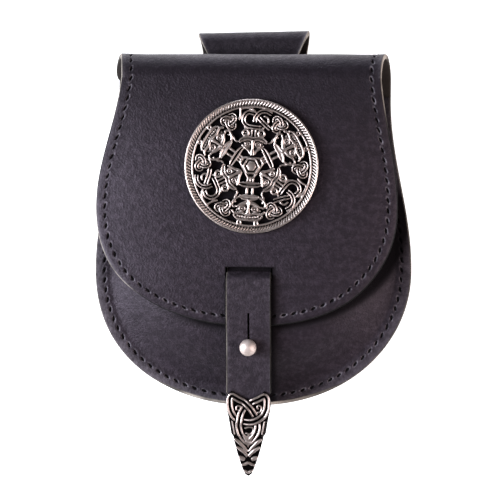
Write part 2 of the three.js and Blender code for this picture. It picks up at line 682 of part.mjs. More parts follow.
// Disc in its own frame, its flat back at z = 0
function discMount() {
  const pieces = [
    discRim(),
    ...BOSS.map(({ sides, height, low, high }) => pillar(0, 0, 0, height, low, high, sides)),
  ];
  const turned = (turn, motif) => {
    for (const piece of motif) pieces.push(piece.rotateZ(THREE.MathUtils.degToRad(turn)));
  };
  for (const turn of OUTER_MASK_TURNS) {
    turned(turn, [...ribbonsOf(OUTER_MASK), plate(OUTER_MASK_FACE, FACE_HEIGHT), ...eyes(OUTER_MASK_EYE)]);
  }
  const ears = { width: 1.1, crest: 1.8, weave: 0 };
  for (const turn of INNER_MASK_TURNS) {
    const { x, y, radius } = INNER_MASK_EAR;
    const { across, out } = RING_PLACE;
    turned(turn, [
      ...ribbonsOf(INNER_MASK),
      plate(INNER_MASK_FACE, FACE_HEIGHT),
      ...eyes(INNER_MASK_EYE),
      ring(x, y, radius, 8, ears),
      ring(-x, y, radius, 8, ears),
      ring(across, out, RING_RADIUS, 10, RIBBON),
      ring(-across, out, RING_RADIUS, 10, { ...RIBBON, weave: -RIBBON.weave }),
    ]);
  }
  for (const turn of KNOT_TURNS) {
    const lobes = knot(KNOT_SIZE, KNOT_SIZE, 5, RIBBON);
    turned(turn, lobes.map((lobe) => lobe.translate(0, KNOT_PLACE, 0)));
  }
  const base = FLAP_FRONT_Z + GAP;
  discPosts().forEach(({ x, y }, i) => {
    const layers = i === 0 ? 2 : 1; // the lowest post also holds the strap's tail
    const place = onFlap({ x, y });
    const headTop = flapFront(place.x, place.y) - layers * (LEATHER + GAP) - base;
    pieces.push(pillar(x, y, headTop - 0.1, 1, POST.radius, POST.radius, 8));
    pieces.push(pillar(x, y, headTop - POST.headHeight, headTop, POST.head, POST.head, 10));
  });
  return geometryFrom(fused(pieces));
}

function part(name, geometry, look) {
  const mesh = new THREE.Mesh(geometry, new THREE.MeshStandardMaterial(look));
  mesh.name = name;
  return mesh;
}

const bag = new THREE.Group();
bag.add(part("back_and_flap", backAndFlap(), blackLeather));
bag.add(part("front_panel", frontPanel(), blackLeather));
bag.add(part("closing_strap", closingStrap(), blackLeather));

const loop = part("belt_loop", beltLoop(), blackLeather);
loop.quaternion.setFromAxisAngle(new THREE.Vector3(0, Math.sin(LIE_TILT), Math.cos(LIE_TILT)), LOOP_SKEW);
loop.position.x = LOOP_FRONT_SEWN_Y * Math.sin(LOOP_SKEW); // keeps its sewn front end in the middle
bag.add(loop);

const stud = part("button_stud", buttonStud(), antiqueSilver);
stud.position.set(0, STUD_Y, BORDER_FRONT_Z + panelRise(STUD_Y));
stud.rotation.x = panelSlope();
bag.add(stud);

const chape = part("strap_end", strapEnd(), antiqueSilver);
chape.position.set(0, STRAP_END_Y, freeStrapFront(STRAP_END_Y) - LEATHER / 2 / Math.cos(STRAP_SLOPE));
chape.rotation.x = STRAP_SLOPE;
bag.add(chape);

const disc = part("disc_mount", discMount(), antiqueSilver);
disc.position.set(DISC_PLACE.x, DISC_PLACE.y, FLAP_FRONT_Z + GAP);
disc.rotation.z = DISC_TURN;
bag.add(disc);

// Tipped up on its loop, with the middle of its box over the origin
bag.rotation.x = LIE_TILT;
const group = new THREE.Group();
group.add(bag);
const box = new THREE.Box3().setFromObject(bag, true);
bag.position.y = -(box.min.y + box.max.y) / 2;
bag.position.z = -box.min.z;

export default group;
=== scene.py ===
# A belt bag of black leather with cast mounts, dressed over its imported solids.
# Sizes are in millimetres in the bag's own frame, as in the part's source: the rear face of the back lies
# in the plane z = 0, the bottom edge is close to y = 0, +Y runs up the bag and +Z out of its front.

import math
from functools import partial

import bpy
import numpy as np
from mathutils import Matrix, Vector, noise


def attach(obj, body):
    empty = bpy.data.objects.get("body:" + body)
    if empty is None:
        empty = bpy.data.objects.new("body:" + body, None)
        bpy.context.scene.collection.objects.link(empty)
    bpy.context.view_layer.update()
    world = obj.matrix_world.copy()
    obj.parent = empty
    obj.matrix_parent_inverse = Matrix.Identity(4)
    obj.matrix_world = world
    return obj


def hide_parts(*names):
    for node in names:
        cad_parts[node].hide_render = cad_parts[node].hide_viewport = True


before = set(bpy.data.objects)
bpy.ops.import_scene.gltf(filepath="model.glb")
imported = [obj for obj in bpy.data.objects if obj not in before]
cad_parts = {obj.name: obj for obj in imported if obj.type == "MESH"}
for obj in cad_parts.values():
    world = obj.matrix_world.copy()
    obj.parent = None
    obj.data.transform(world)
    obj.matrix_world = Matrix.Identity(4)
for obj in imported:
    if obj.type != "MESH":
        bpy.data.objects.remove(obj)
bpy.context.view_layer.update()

MM = 0.001
LIE_TILT = math.radians(4.5)
POUCH_BOTTOM_Y = -0.8
BAG_SHIFT = -68.857
BAG_LIFT = -POUCH_BOTTOM_Y * math.sin(LIE_TILT)
BAG_PLACE = Matrix.Translation((0, BAG_SHIFT, BAG_LIFT)) @ Matrix.Rotation(LIE_TILT, 4, "X")
TO_METRES = Matrix.Scale(MM, 4)

# Leather
LEATHER = 2.2
GAP = 0.3
POUCH_HALF_WIDTH = 71.8
POUCH_WIDEST_Y = 61
POUCH_ROUND_POWER = 2.12
POUCH_LEAN = 0.9
MOUTH_HALF_WIDTH = 61.7
MOUTH_Y = 139
BORDER = 7
POUCH_BULGE = 12
POUCH_SHOULDER = 26
BORDER_SOFTNESS = 1.4
BORDER_FRONT_Z = LEATHER + GAP + LEATHER
BAG_TOP_Y = 158
FLAP_FRONT_Z = 23
FLAP_HALF_WIDTH = 67.9
FLAP_WIDEST_Y = 89
FLAP_TIP_Y = 36
FLAP_ROUND_POWER = 2.2
FLAP_NECK_HALF_WIDTH = 57.4
FLAP_NECK_Y = 155
FLAP_SIDE_DROOP = 6
FLAP_TIP_DROOP = 2.8
FLAT_FLAP_Y = 105
FLAP_LEAN = 2.1
ROLL_RADIUS = FLAP_FRONT_Z / 2
ROLL_Y = BAG_TOP_Y - ROLL_RADIUS
# The ear at the roll's left end, and how far its peak lies towards the back
ROLL_EAR = 1.4
ROLL_EAR_LEAN = 0.6

# Closing strap and stud
STRAP_HALF_WIDTH = 10
STRAP_SLOPE = math.radians(6)
STRAP_BUTTONED = (27, 20.6)
STRAP_OVER_FLAP = [(31, 21.5), (36.5, 22.95), (43, 24.3), (50, 25.15)]
STRAP_BEND_Y = 57
STRAP_BEND_LENGTH = 6
STRAP_TAIL_Y = 94
# Painted shade: from here up, inside its slot, the strap's face is painted black
STRAP_SHADED_FROM_Y = 60.8
SLOT_LOW_Y = 56.4
SLOT_HIGH_Y = 62.6
SLOT_HALF_WIDTH = 10.5
SLIT_LOW_Y = 28
SLIT_HIGH_Y = 42.3
SLIT_WIDTH = 0.9
SLIT_LIP_WIDTH = 0.45
SLIT_LIP_DEPTH = 0.3
SLOT_PUNCH = 8
STRAP_PUNCH = 14
STRAP_PUNCH_Z = 22
# How raw the strap's right and left cuts are; the left one's extra grey is a painted highlight
STRAP_CUTS_RAW_AND_LIT = (0.05, 0.3)
STUD_Y = 29.2
STUD_HOLE = 2.6
STUD_BALL = 3.75
STUD_BALL_RISE = 7.9
STRAP_END_Y = 7.4
# In the part's frame: an axis, where the painted shadow beside the strap starts, and where it is fully
# black
STRAP_SHADE = [("X", 15, 10), ("X", -11.5, -10.2), ("Y", -7.4, -8.3)]

# Belt loop
LOOP_TOP_Y = 169.4
LOOP_FRONT_SEWN_Y = 127
LOOP_FLAT_ROWS = [152, 142, 130, 116]
LOOP_FLAT_TO_Y = 101
LOOP_REAR_SEWN_HIGH_Y = 84
LOOP_REAR_SEWN_LOW_Y = 68
LOOP_SEWN_BOX = [(-13.5, 69.7), (13.5, 69.7), (13.5, 83.2), (-13.5, 83.2)]
LOOP_SKEW = math.radians(1.4)
LOOP_FOLD_HALF = 25.4
LOOP_FOLD_ROWS = 13
# Half width of the loop's ends, and how far from the fold it narrows to them
LOOP_FRONT_TAPER = (16, 17)
LOOP_REAR_TAPER = (18, 30)
LOOP_RAW_CUTS = (0.9, 0.9)
LOOP_THREAD_DEPTH = -0.25

# Disc mount
DISC_X = 0.85
DISC_Y = 107.3
DISC_TURN = math.radians(-3.5)
DISC_RADIUS = 29.9
# For the painted shade in the leather's colour, in metres in the part's frame: what the disc covers, the
# flap's middle and reach
DISC_CENTRE = TO_METRES @ BAG_PLACE @ Vector((DISC_X, DISC_Y, FLAP_FRONT_Z))
DISC_COVER = (DISC_RADIUS - 1.5) * MM
FLAP_CENTRE = TO_METRES @ BAG_PLACE @ Vector((FLAP_LEAN / 2, FLAP_WIDEST_Y, 15))
FLAP_REACH = (FLAP_HALF_WIDTH * MM, (FLAP_WIDEST_Y - FLAP_TIP_Y) * MM, MM)

# Stitches, through slits pricked with an awl
STITCH_INSET = 4.5
STITCH_PITCH = 4.5
AWL_LENGTH = 1.25
AWL_WIDTH = 0.54
AWL_DEPTH = 0.9
AWL_SLANT = math.radians(17)
# The raised lip round a slit: its place and width in parts of the slit's own size, and its height
LIP_AT = 1.8
LIP_WIDTH = 0.6
LIP_RISE = 0.1
THREAD_RADIUS = 0.3
THREAD_SIDES = 6
THREAD_DEPTH = 0.95
THREAD_REACH = 0.85
THREAD_BOW = 0.5
UNSEWN = -2.0

# Wear of the leather's face: 1 where it is rubbed grey or a highlight is painted, below 0 where painted
# shade blackens it
PAINTED_SHADE = -0.9
HANDLED_WEAR = 0.05
STRIP_RUBBED = 2.2
# The roll's colour is lighter along the middle of its top: how much, how far in from the edge it starts,
# and over how far it comes in
CREST_LIGHTER = 0.4
CREST_LIGHTER_INSET = 8
CREST_LIGHTER_FADE = 30

# Unevenness of a leather face: its slow and quick waves, and how low it lies
SLOW_WAVE = 42
SLOW_DEPTH = 0.4
QUICK_WAVE = 13
QUICK_DEPTH = 0.12
FACE_SUNK = 0.3
WAVE_FADE = 6
# A strip's waves are finer and flatter than a panel's, and are taken from another place in the noise
STRIP_FINER = 2
STRIP_FLATTER = 0.5
STRIP_WAVE_SHIFT = 40

# Material slots of a leather piece
FACE, CUT, FLESH = range(3)


# Modelling helpers

def linear(hex_colour):
    """sRGB hex to linear RGBA"""
    channels = [int(hex_colour[i:i + 2], 16) / 255 for i in (1, 3, 5)]
    return [c / 12.92 if c <= 0.04045 else ((c + 0.055) / 1.055) ** 2.4 for c in channels] + [1.0]


def clamp(value, low=0.0, high=1.0):
    return min(max(value, low), high)


def blend(value, start, end):
    """Smooth step from 0 to 1 while value goes from start to end"""
    part = clamp((value - start) / (end - start))
    return (1 - math.cos(math.pi * part)) / 2


def mix(a, b, part):
    return a + (b - a) * part


def select_only(piece):
    bpy.ops.object.select_all(action="DESELECT")
    piece.select_set(True)
    bpy.context.view_layer.objects.active = piece


def new_piece(name, points, faces, place=BAG_PLACE):
    """Mesh object from points in millimetres"""
    mesh = bpy.data.meshes.new(name)
    mesh.from_pydata([tuple(p) for p in points], [], faces)
    mesh.transform(TO_METRES @ place)
    piece = bpy.data.objects.new(name, mesh)
    bpy.context.collection.objects.link(piece)
    select_only(piece)
    return piece


def apply_modifier(piece, kind, **settings):
    select_only(piece)
    modifier = piece.modifiers.new(kind.lower(), kind)
    for key, value in settings.items():
        setattr(modifier, key, value)
    bpy.ops.object.modifier_apply(modifier=modifier.name)


def weld_and_face_outwards(piece, distance=2e-6):
    select_only(piece)
    bpy.ops.object.mode_set(mode="EDIT")
    bpy.ops.mesh.select_all(action="SELECT")
    bpy.ops.mesh.remove_doubles(threshold=distance)
    bpy.ops.mesh.normals_make_consistent(inside=False)
    bpy.ops.object.mode_set(mode="OBJECT")


def dress(piece, slot, materials, *nodes):
    for material in materials:
        piece.data.materials.append(material)
    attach(piece, "root")
    if nodes:
        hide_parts(*nodes)


def mark(piece, name, values):
    """Attribute of a piece's points: one number or three for each"""
    values = np.asarray(values, dtype=np.float32)
    kind, key = ("FLOAT", "value") if values.ndim == 1 else ("FLOAT_VECTOR", "vector")
    piece.data.attributes.new(name, kind, "POINT").data.foreach_set(key, values.ravel())


def leather_piece(name, points, faces, seams, kinds, place=BAG_PLACE):
    """Leather from its points with their seam values and its faces with their material slots"""
    piece = new_piece(name, points, faces, place)
    mark(piece, "seam", seams)
    piece.data.polygons.foreach_set("material_index", kinds)
    weld_and_face_outwards(piece)
    bpy.ops.object.shade_smooth_by_angle(angle=math.radians(50))
    return piece


class Shells:
    """Points and faces of closed shells"""

    def __init__(self):
        self.points = []
        self.faces = []

    def sections(self, rings, closed=False):
        """Closed shell through rings of the same number of points"""
        first, size = len(self.points), len(rings[0])
        for one in rings:
            self.points.extend(one)
        spans = len(rings) if closed else len(rings) - 1
        for i in range(spans):
            here, after = first + i * size, first + ((i + 1) % len(rings)) * size
            for j in range(size):
                k = (j + 1) % size
                self.faces.append([here + j, here + k, after + k, after + j])
        if not closed:
            self.faces.append([first + j for j in range(size)][::-1])
            self.faces.append([first + (len(rings) - 1) * size + j for j in range(size)])


def lengths_along(points):
    """Length of the line through the points, up to each of them"""
    return np.concatenate([[0], np.cumsum(np.linalg.norm(np.diff(points, axis=0), axis=1))])


def smoothed(points, step, closed=False):
    """Even steps along a smooth line through points of any number of coordinates"""
    points = np.asarray(points, dtype=float)
    count = len(points)
    spans = count if closed else count - 1
    fine = []
    for i in range(spans):
        if closed:
            a, b, c, d = (points[(i + k) % count] for k in (-1, 0, 1, 2))
        else:
            b, c = points[i], points[i + 1]
            a = points[i - 1] if i > 0 else 2 * b - c
            d = points[i + 2] if i + 2 < count else 2 * c - b
        for t in np.arange(16) / 16:
            fine.append(0.5 * (2 * b + (c - a) * t + (2 * a - 5 * b + 4 * c - d) * t ** 2
                               + (3 * b - a - 3 * c + d) * t ** 3))
    fine.append(points[0] if closed else points[-1])
    fine = np.array(fine)
    lengths = lengths_along(fine[:, :2])
    steps = max(2, round(lengths[-1] / step))
    at = np.linspace(0, lengths[-1], steps + 1)
    line = np.stack([np.interp(at, lengths, fine[:, k]) for k in range(fine.shape[1])], axis=1)
    return line[:-1] if closed else line


# Leather panels: rows run from the cut edge in to the middle line

def pouch_half_width(y):
    return mix(POUCH_HALF_WIDTH, MOUTH_HALF_WIDTH, blend(y, POUCH_WIDEST_Y, MOUTH_Y))


def pouch_middle(y):
    return -POUCH_LEAN * blend(y, POUCH_WIDEST_Y, POUCH_WIDEST_Y / 4)


def flap_half_width(y):
    return mix(FLAP_NECK_HALF_WIDTH, FLAP_HALF_WIDTH, blend(y, FLAP_NECK_Y, FLAP_WIDEST_Y))


def flap_middle(y):
    return -FLAP_LEAN * blend(y, FLAP_NECK_Y, FLAP_WIDEST_Y) * blend(y, FLAP_TIP_Y, SLOT_HIGH_Y)


def flap_droop(x, y):
    return FLAP_SIDE_DROOP * (abs(x) / FLAP_HALF_WIDTH) ** 3 * blend(y, BAG_TOP_Y, FLAT_FLAP_Y)


def flap_front(x, y):
    tip = clamp((SLOT_HIGH_Y - y) / (SLOT_HIGH_Y - FLAP_TIP_Y))
    return FLAP_FRONT_Z - FLAP_TIP_DROOP * tip ** 1.5 - flap_droop(x, y)


def panel_rise(from_edge):
    part = clamp((from_edge - BORDER) / POUCH_SHOULDER)
    return POUCH_BULGE * math.sin(part ** BORDER_SOFTNESS * math.pi / 2)


# A row is the part that it lies on, its half width, its place and the place of its end on the middle line.
# A place is a height on the bag, or an angle on the roll.
FINE_ROWS = 1500
ROW_STEP = 0.5
BACK_ROW_STEP = 0.8


def round_rows(part, half_width, widest_y, end_y, power):
    """Rows of a panel's round end, up to where it is widest"""
    rows = []
    for angle in np.linspace(0, math.pi / 2, FINE_ROWS):
        half = half_width * math.sin(angle) ** (2 / power)
        rise = (widest_y - end_y) * (1 - max(math.cos(angle), 0) ** (2 / power))
        rows.append((part, half, end_y + rise, widest_y))
    return rows


def pouch_rows(part, top_y):
    rows = round_rows(part, POUCH_HALF_WIDTH, POUCH_WIDEST_Y, POUCH_BOTTOM_Y, POUCH_ROUND_POWER)
    for y in np.linspace(POUCH_WIDEST_Y, top_y, FINE_ROWS)[1:]:
        rows.append((part, pouch_half_width(y), y, y))
    return rows


def flap_rows():
    rows = round_rows("flap", FLAP_HALF_WIDTH, FLAP_WIDEST_Y, FLAP_TIP_Y, FLAP_ROUND_POWER)
    for y in np.linspace(FLAP_WIDEST_Y, ROLL_Y, FINE_ROWS)[1:]:
        rows.append(("flap", flap_half_width(y), y, y))
    for turn in np.linspace(math.pi, 0, FINE_ROWS)[1:-1]:
        half = mix(pouch_half_width(ROLL_Y), flap_half_width(ROLL_Y), blend(turn, 0, math.pi))
        rows.append(("roll", half, turn, turn))
    return rows


def roll_ear(turn, side):
    """The roll's rear is cut a little wider on the left"""
    return ROLL_EAR * math.sin(math.pi * clamp(2 * turn / math.pi) ** ROLL_EAR_LEAN) if side < 0 else 0.0


def on_bag(row, side, inset):
    """Point of a panel's outer face on the row, that far in from the left (-1) or right (1) edge"""
    part, half, at, middle = row
    if part == "roll":
        x = (half - inset) * (1 + roll_ear(at, side) / half)
        y = ROLL_Y + ROLL_RADIUS * math.sin(at)
        z = ROLL_RADIUS * (1 - math.cos(at)) - flap_droop(x, ROLL_Y) * blend(at, math.pi / 2, math.pi)
        return side * x, y, z
    length = math.hypot(half, middle - at)
    x = half * (1 - inset / length)
    y = at + (middle - at) * inset / length
    if part == "flap":
        return side * x + flap_middle(y), y, flap_front(x, y)
    if part == "front":
        return side * x + pouch_middle(y), y, BORDER_FRONT_Z + panel_rise(inset)
    return side * x + pouch_middle(y), y, 0.0


def evenly_spaced(rows, step):
    along = lengths_along([on_bag(row, 1, 0) for row in rows])
    wanted = np.linspace(0, along[-1], round(along[-1] / step) + 1)
    return [rows[i] for i in np.clip(np.searchsorted(along, wanted), 0, len(rows) - 1)]


def waviness(point):
    """Slight unevenness of a leather face, never proud of it"""
    x, y, z = point
    slow = noise.noise(Vector((x / SLOW_WAVE, y / SLOW_WAVE, z / SLOW_WAVE)))
    quick = noise.noise(Vector((x / QUICK_WAVE + 7, y / QUICK_WAVE, z / QUICK_WAVE)))
    return SLOW_DEPTH * slow + QUICK_DEPTH * quick - FACE_SUNK


def awl_slits(along, inset):
    """Depth of the pricked slits and their raised lips"""
    u = (along - np.floor(along) - 0.5) * STITCH_PITCH
    length = u * math.cos(AWL_SLANT) + inset * math.sin(AWL_SLANT)
    width = inset * math.cos(AWL_SLANT) - u * math.sin(AWL_SLANT)
    reach = np.hypot(length / AWL_LENGTH, width / AWL_WIDTH)
    slit = np.exp(-reach ** 3)
    lip = np.exp(-((reach - LIP_AT) / LIP_WIDTH) ** 2)
    return AWL_DEPTH * slit - LIP_RISE * lip


# Columns of a panel, in from the edge: close ones near it, then steps to the middle
NEAR_EDGE = [0.6, 1.1, 1.7, 2.4, 3.0, 3.5, 3.85, 4.2, 4.55, 4.9, 5.25, 5.65, 6.2, 6.9, 7.8]
FAR_STEPS = 13
OUTER_COLUMNS = len(NEAR_EDGE) + FAR_STEPS
FIRST_STEP = 0.3
LEAST_STEP = 0.1
SEWN_COLUMN = NEAR_EDGE.index(4.55)
INNER_COLUMNS = [0, 3, 8, 12, 14, 17, 20, 23, 25, 27]
# Cut edge: how far in from the outline and how deep, from the outer face to the inner
SQUARE_CUT = [(0.3, 0.07), (0.1, 0.32), (0.02, 0.8), (0, 1.3), (0.04, 1.8), (0.2, 2.1)]
ROUND_DEPTHS = [0.66, 0.9, 1.2, 1.5, 1.85, 2.1]
SHOULDER_DEPTH = 0.85
SHOULDER_WIDTH = 2.0
ROUND_BELOW_ROLL = 24
SLANTED_CUT = [(1.4, 0.08), (1.15, 0.4), (0.85, 0.9), (0.55, 1.4), (0.3, 1.85), (0.4, 2.12)]
SKIVED_BELOW_Y = 2
SQUARE_ABOVE_Y = 13
SIDE_SLANT = 0.25


def flap_roundness(row):
    """The flap's edge is worn round, less towards the roll"""
    part, _, at, _ = row
    return blend(at, ROLL_Y, ROLL_Y - ROUND_BELOW_ROLL) if part == "flap" else 0.0


def flap_cut(row):
    worn = flap_roundness(row)
    return [(inset, mix(depth, rounded, worn)) for (inset, depth), rounded in zip(SQUARE_CUT, ROUND_DEPTHS)]


def slanted_cut(row):
    """Skived at the bottom, nearly square up the sides"""
    slant = mix(1, SIDE_SLANT, blend(row[2], SKIVED_BELOW_Y, SQUARE_ABOVE_Y))
    return [(inset * slant, depth) for inset, depth in SLANTED_CUT]


def edge_wear_and_painted_light(row, side):
    """Wear of a panel's face at the edge with painted highlights and painted shade added, how far in it
    reaches, and how raw the cut is, which on the flap's lower left is a painted highlight
    """
    part, _, at, _ = row
    left = side < 0
    if part == "flap":
        # Painted highlight: the flap's lower left edge is greyed, face and cut; painted shade: the rest of
        # its lower edge is blackened
        worn = blend(at, 48, 56) * blend(at, 110, 80) if left else 0.0
        shaded_edge = blend(at, 48, 40) if left else blend(at, 130, 100)
        raw_near_roll = 0.8 * blend(at, 122, 140)
        return 0.7 * worn + PAINTED_SHADE * shaded_edge, 2.4, max(0.65 * worn, raw_near_roll)
    if part == "front":
        raw_at_bottom = 0.7 * blend(at, 6, 2)
        # Rubbed grey along the border, more on the left as a painted highlight
        return (0.8 if left else 0.35), 7.0, 0.2 + raw_at_bottom
    raw_at_top = 0.7 * blend(at, 1.2, 1.9) if part == "roll" else 0.0
    return 0.3, 4.0, 0.15 + raw_at_top


def crest_lightening(row):
    """The roll's colour is lighter along the middle of its top"""
    part, _, at, _ = row
    return CREST_LIGHTER * blend(at, 0.9, 1.4) * blend(at, 2.5, 1.75) if part == "roll" else 0.0


def rubbed(inset, reach):
    return np.clip(1 - inset / reach, 0, 1) ** 2


def panel_half(rows, side, cut):
    """Grid of points from the middle of the outer face round the cut edge to the middle of the inner"""
    insets = []
    for row in rows:
        part, half, at, middle = row
        length = half if part == "roll" else math.hypot(half, middle - at)
        first = cut(row)[0][0] + FIRST_STEP
        near = [max(inset, first + LEAST_STEP * k) for k, inset in enumerate(NEAR_EDGE)]
        far = [mix(NEAR_EDGE[-1], length, k / FAR_STEPS) for k in range(1, FAR_STEPS + 1)]
        insets.append(near + far)
    base = np.array([[on_bag(row, side, inset) for inset in line] for row, line in zip(rows, insets)])
    insets = np.array(insets)
    normal = np.cross(np.gradient(base, axis=0), np.gradient(base, axis=1)) * side
    size = np.linalg.norm(normal, axis=2, keepdims=True)
    for j in range(1, base.shape[1]):
        flat = size[:, j, 0] < 1e-6
        normal[flat, j] = normal[flat, j - 1]
        size[flat, j] = size[flat, j - 1]
    normal /= size
    sewn = np.array([on_bag(row, side, STITCH_INSET) for row in rows])
    along = lengths_along(sewn)
    along *= round(along[-1] / STITCH_PITCH) / along[-1]
    dent = awl_slits(along[:, None], insets - STITCH_INSET)
    fade = np.clip((insets - NEAR_EDGE[0]) / WAVE_FADE, 0, 1)
    wave = np.array([[waviness(p) for p in line] for line in base]) * fade
    roundness = np.array([flap_roundness(row) for row in rows])[:, None]
    shoulder = SHOULDER_DEPTH * roundness * rubbed(insets, SHOULDER_WIDTH)
    outer = base + normal * (wave - dent - shoulder)[..., None]
    rim = np.array([
        [np.array(on_bag(row, side, inset)) - edge_normal * depth for inset, depth in cut(row)]
        for row, edge_normal in zip(rows, normal[:, 0])
    ])
    inner = base[:, INNER_COLUMNS] - normal[:, INNER_COLUMNS] * LEATHER
    grid = np.concatenate([outer[:, ::-1], rim, inner], axis=1)
    from_edge = np.zeros(grid.shape[:2])
    from_edge[:, :insets.shape[1]] = insets[:, ::-1]
    wear, reach, raw = np.array([edge_wear_and_painted_light(row, side) for row in rows]).T[..., None]
    worn = np.where(from_edge > 0, wear * rubbed(from_edge, reach), raw)
    crest = np.array([crest_lightening(row) for row in rows])[:, None]
    worn += crest * np.clip((from_edge - CREST_LIGHTER_INSET) / CREST_LIGHTER_FADE, 0, 1)
    along_seam = np.repeat(along[:, None], grid.shape[1], axis=1)
    # The third value is the wear together with painted highlights and, below 0, painted shade
    seam = np.stack([along_seam, from_edge - STITCH_INSET, worn], axis=2)
    return grid, seam, (sewn, normal[:, SEWN_COLUMN], along)


def leather_panel(name, rows, cut, open_end):
    """Closed leather panel from its two halves, and the frames of its sewn lines"""
    points, faces, seams, kinds, sewn_lines = [], [], [], [], []
    for side in (1, -1):
        grid, seam, frames = panel_half(rows, side, cut)
        sewn_lines.append(frames)
        start = len(points)
        count, columns = grid.shape[:2]
        points.extend(grid.reshape(-1, 3))
        seams.append(seam.reshape(-1, 3))
        for i in range(count - 1):
            for j in range(columns - 1):
                a = start + i * columns + j
                quad = [a, a + 1, a + columns + 1, a + columns]
                faces.append(quad if side > 0 else quad[::-1])
                in_rim = OUTER_COLUMNS - 1 <= j < OUTER_COLUMNS + len(SQUARE_CUT)
                kinds.append(CUT if in_rim else FACE if j < OUTER_COLUMNS else FLESH)
        if open_end:
            last = [start + (count - 1) * columns + j for j in range(columns)]
            faces.append(last if side > 0 else last[::-1])
            kinds.append(CUT)
    return leather_piece(name, points, faces, np.concatenate(seams), kinds), sewn_lines


def thread_bits(name, sewn_lines, depth=THREAD_DEPTH, place=BAG_PLACE):
    """Short bits of thread along sewn lines, that deep in their slits"""
    bits = Shells()
    angles = [2 * math.pi * s / THREAD_SIDES for s in range(THREAD_SIDES)]
    for sewn, normal, along in sewn_lines:
        for number in range(int(along[-1])):
            i = int(np.searchsorted(along, number + 0.5))
            if i + 1 >= len(sewn):
                continue
            up = Vector(normal[i]).normalized()
            seam = Vector(sewn[i + 1] - sewn[i - 1]).normalized()
            inwards = Vector((-sewn[i][0], 0, 0))
            inwards = (inwards - up * inwards.dot(up) - seam * inwards.dot(seam)).normalized()
            lengthwise = seam * math.cos(AWL_SLANT) + inwards * math.sin(AWL_SLANT)
            across = lengthwise.cross(up)
            rings = []
            for t in (-1, -0.5, 0, 0.5, 1):
                centre = Vector(sewn[i]) + lengthwise * t * AWL_LENGTH * THREAD_REACH
                centre -= up * (depth + THREAD_BOW * t * t)
                outwards = [across * math.cos(a) + up * math.sin(a) for a in angles]
                rings.append([centre + THREAD_RADIUS * out for out in outwards])
            bits.sections(rings)
    piece = new_piece(name, bits.points, bits.faces, place)
    weld_and_face_outwards(piece)
    bpy.ops.object.shade_smooth_by_angle(angle=math.radians(60))
    dress(piece, "black_leather", [THREAD])


# Leather strips: sections run along a line in the plane x = 0

STRIP_STEP = 0.7
LOOP_STEP = 0.8
BEND_STEPS = 7
STRIP_NEAR_EDGE = [0.55, 1.0, 1.6, 2.4, 3.4]
STRIP_MIDDLE_INSET = 4.2
STRIP_MIDDLE_COLUMNS = 15
STRIP_OUTER_COLUMNS = 2 * len(STRIP_NEAR_EDGE) + STRIP_MIDDLE_COLUMNS


def bend(start_y, start_z, end_y, end_z):
    """Rows of y and z that go over softly from one level to the other"""
    parts = [(i / BEND_STEPS, blend(i, 0, BEND_STEPS)) for i in range(BEND_STEPS + 1)]
    return [(mix(start_y, end_y, along), mix(start_z, end_z, down)) for along, down in parts]


def leather_strip(name, path, raw_cuts, dent=None, shaded_from=math.inf, place=BAG_PLACE):
    """Closed strip from rows of y, z and half width of its outer face, with how raw its two cuts are"""
    rim = SQUARE_CUT
    rings, seams = [], []
    tangents = np.gradient(path[:, :2], axis=0)
    tangents /= np.linalg.norm(tangents, axis=1, keepdims=True)
    for (y, z, half), (along_y, along_z) in zip(path, tangents):
        edge = [half - inset for inset in STRIP_NEAR_EDGE]
        middle = np.linspace(STRIP_MIDDLE_INSET - half, half - STRIP_MIDDLE_INSET, STRIP_MIDDLE_COLUMNS)
        outer = [-x for x in edge] + list(middle) + edge[::-1]
        inner = [half - 0.5, half - 2.5, half * 0.3]
        inner += [-x for x in reversed(inner)]
        section = []
        for x in outer:
            depth = dent(x, y) if dent else 0
            wave = waviness((x * STRIP_FINER + STRIP_WAVE_SHIFT, y * STRIP_FINER, z))
            section.append((x, depth - STRIP_FLATTER * wave))
        section += [(half - inset, depth) for inset, depth in rim]
        section += [(x, LEATHER) for x in inner]
        section += [(inset - half, depth) for inset, depth in reversed(rim)]
        rings.append([(x, y + along_z * depth, z - along_y * depth) for x, depth in section])
        # Painted shade: inside the slot the strap's face is painted black
        if y > shaded_from:
            worn = [PAINTED_SHADE] * len(outer)
        else:
            # The face greys towards each cut as it is rubbed; on the strap the stronger grey on the left is
            # a painted highlight
            worn = [HANDLED_WEAR + raw_cuts[x < 0] * rubbed(half - abs(x), STRIP_RUBBED) for x in outer]
        worn += [raw_cuts[0]] * len(rim) + [0.0] * len(inner) + [raw_cuts[1]] * len(rim)
        seams += [(0, UNSEWN, share) for share in worn]
    columns = len(rings[0])
    kinds = []
    for j in range(columns):
        right_rim = STRIP_OUTER_COLUMNS - 1 <= j < STRIP_OUTER_COLUMNS + len(rim)
        left_rim = j >= columns - len(rim) - 1
        kinds.append(CUT if right_rim or left_rim else FACE if j < STRIP_OUTER_COLUMNS else FLESH)
    kinds = kinds * (len(rings) - 1) + [CUT, CUT]
    strip = Shells()
    strip.sections(rings)
    return leather_piece(name, strip.points, strip.faces, seams, kinds, place)


def cut_through(piece, cutters):
    """Takes the cutters out of a piece, whose cut walls take the cutters' material"""
    for cutter in cutters:
        apply_modifier(piece, "BOOLEAN", operation="DIFFERENCE", object=cutter, solver="EXACT")
        bpy.data.objects.remove(cutter, do_unlink=True)


def punch(kind, size, centre):
    """Block or round punch in the bag's frame"""
    bpy.ops.object.select_all(action="DESELECT")
    if kind == "block":
        bpy.ops.mesh.primitive_cube_add(size=1)
    else:
        bpy.ops.mesh.primitive_cylinder_add(vertices=32, radius=0.5, depth=1)
    tool = bpy.context.object
    tool.data.transform(TO_METRES @ BAG_PLACE @ Matrix.Translation(centre) @ Matrix.Diagonal((*size, 1)))
    tool.data.materials.append(LEATHER_CUT)
    return tool


# Castings: closed shells in the casting's own frame, fused like metal in a mould

def whole_outline(right_half):
    """Outline from its right half, which starts and ends on the middle line"""
    return right_half + [(-x, y) for x, y in reversed(right_half[1:-1])]


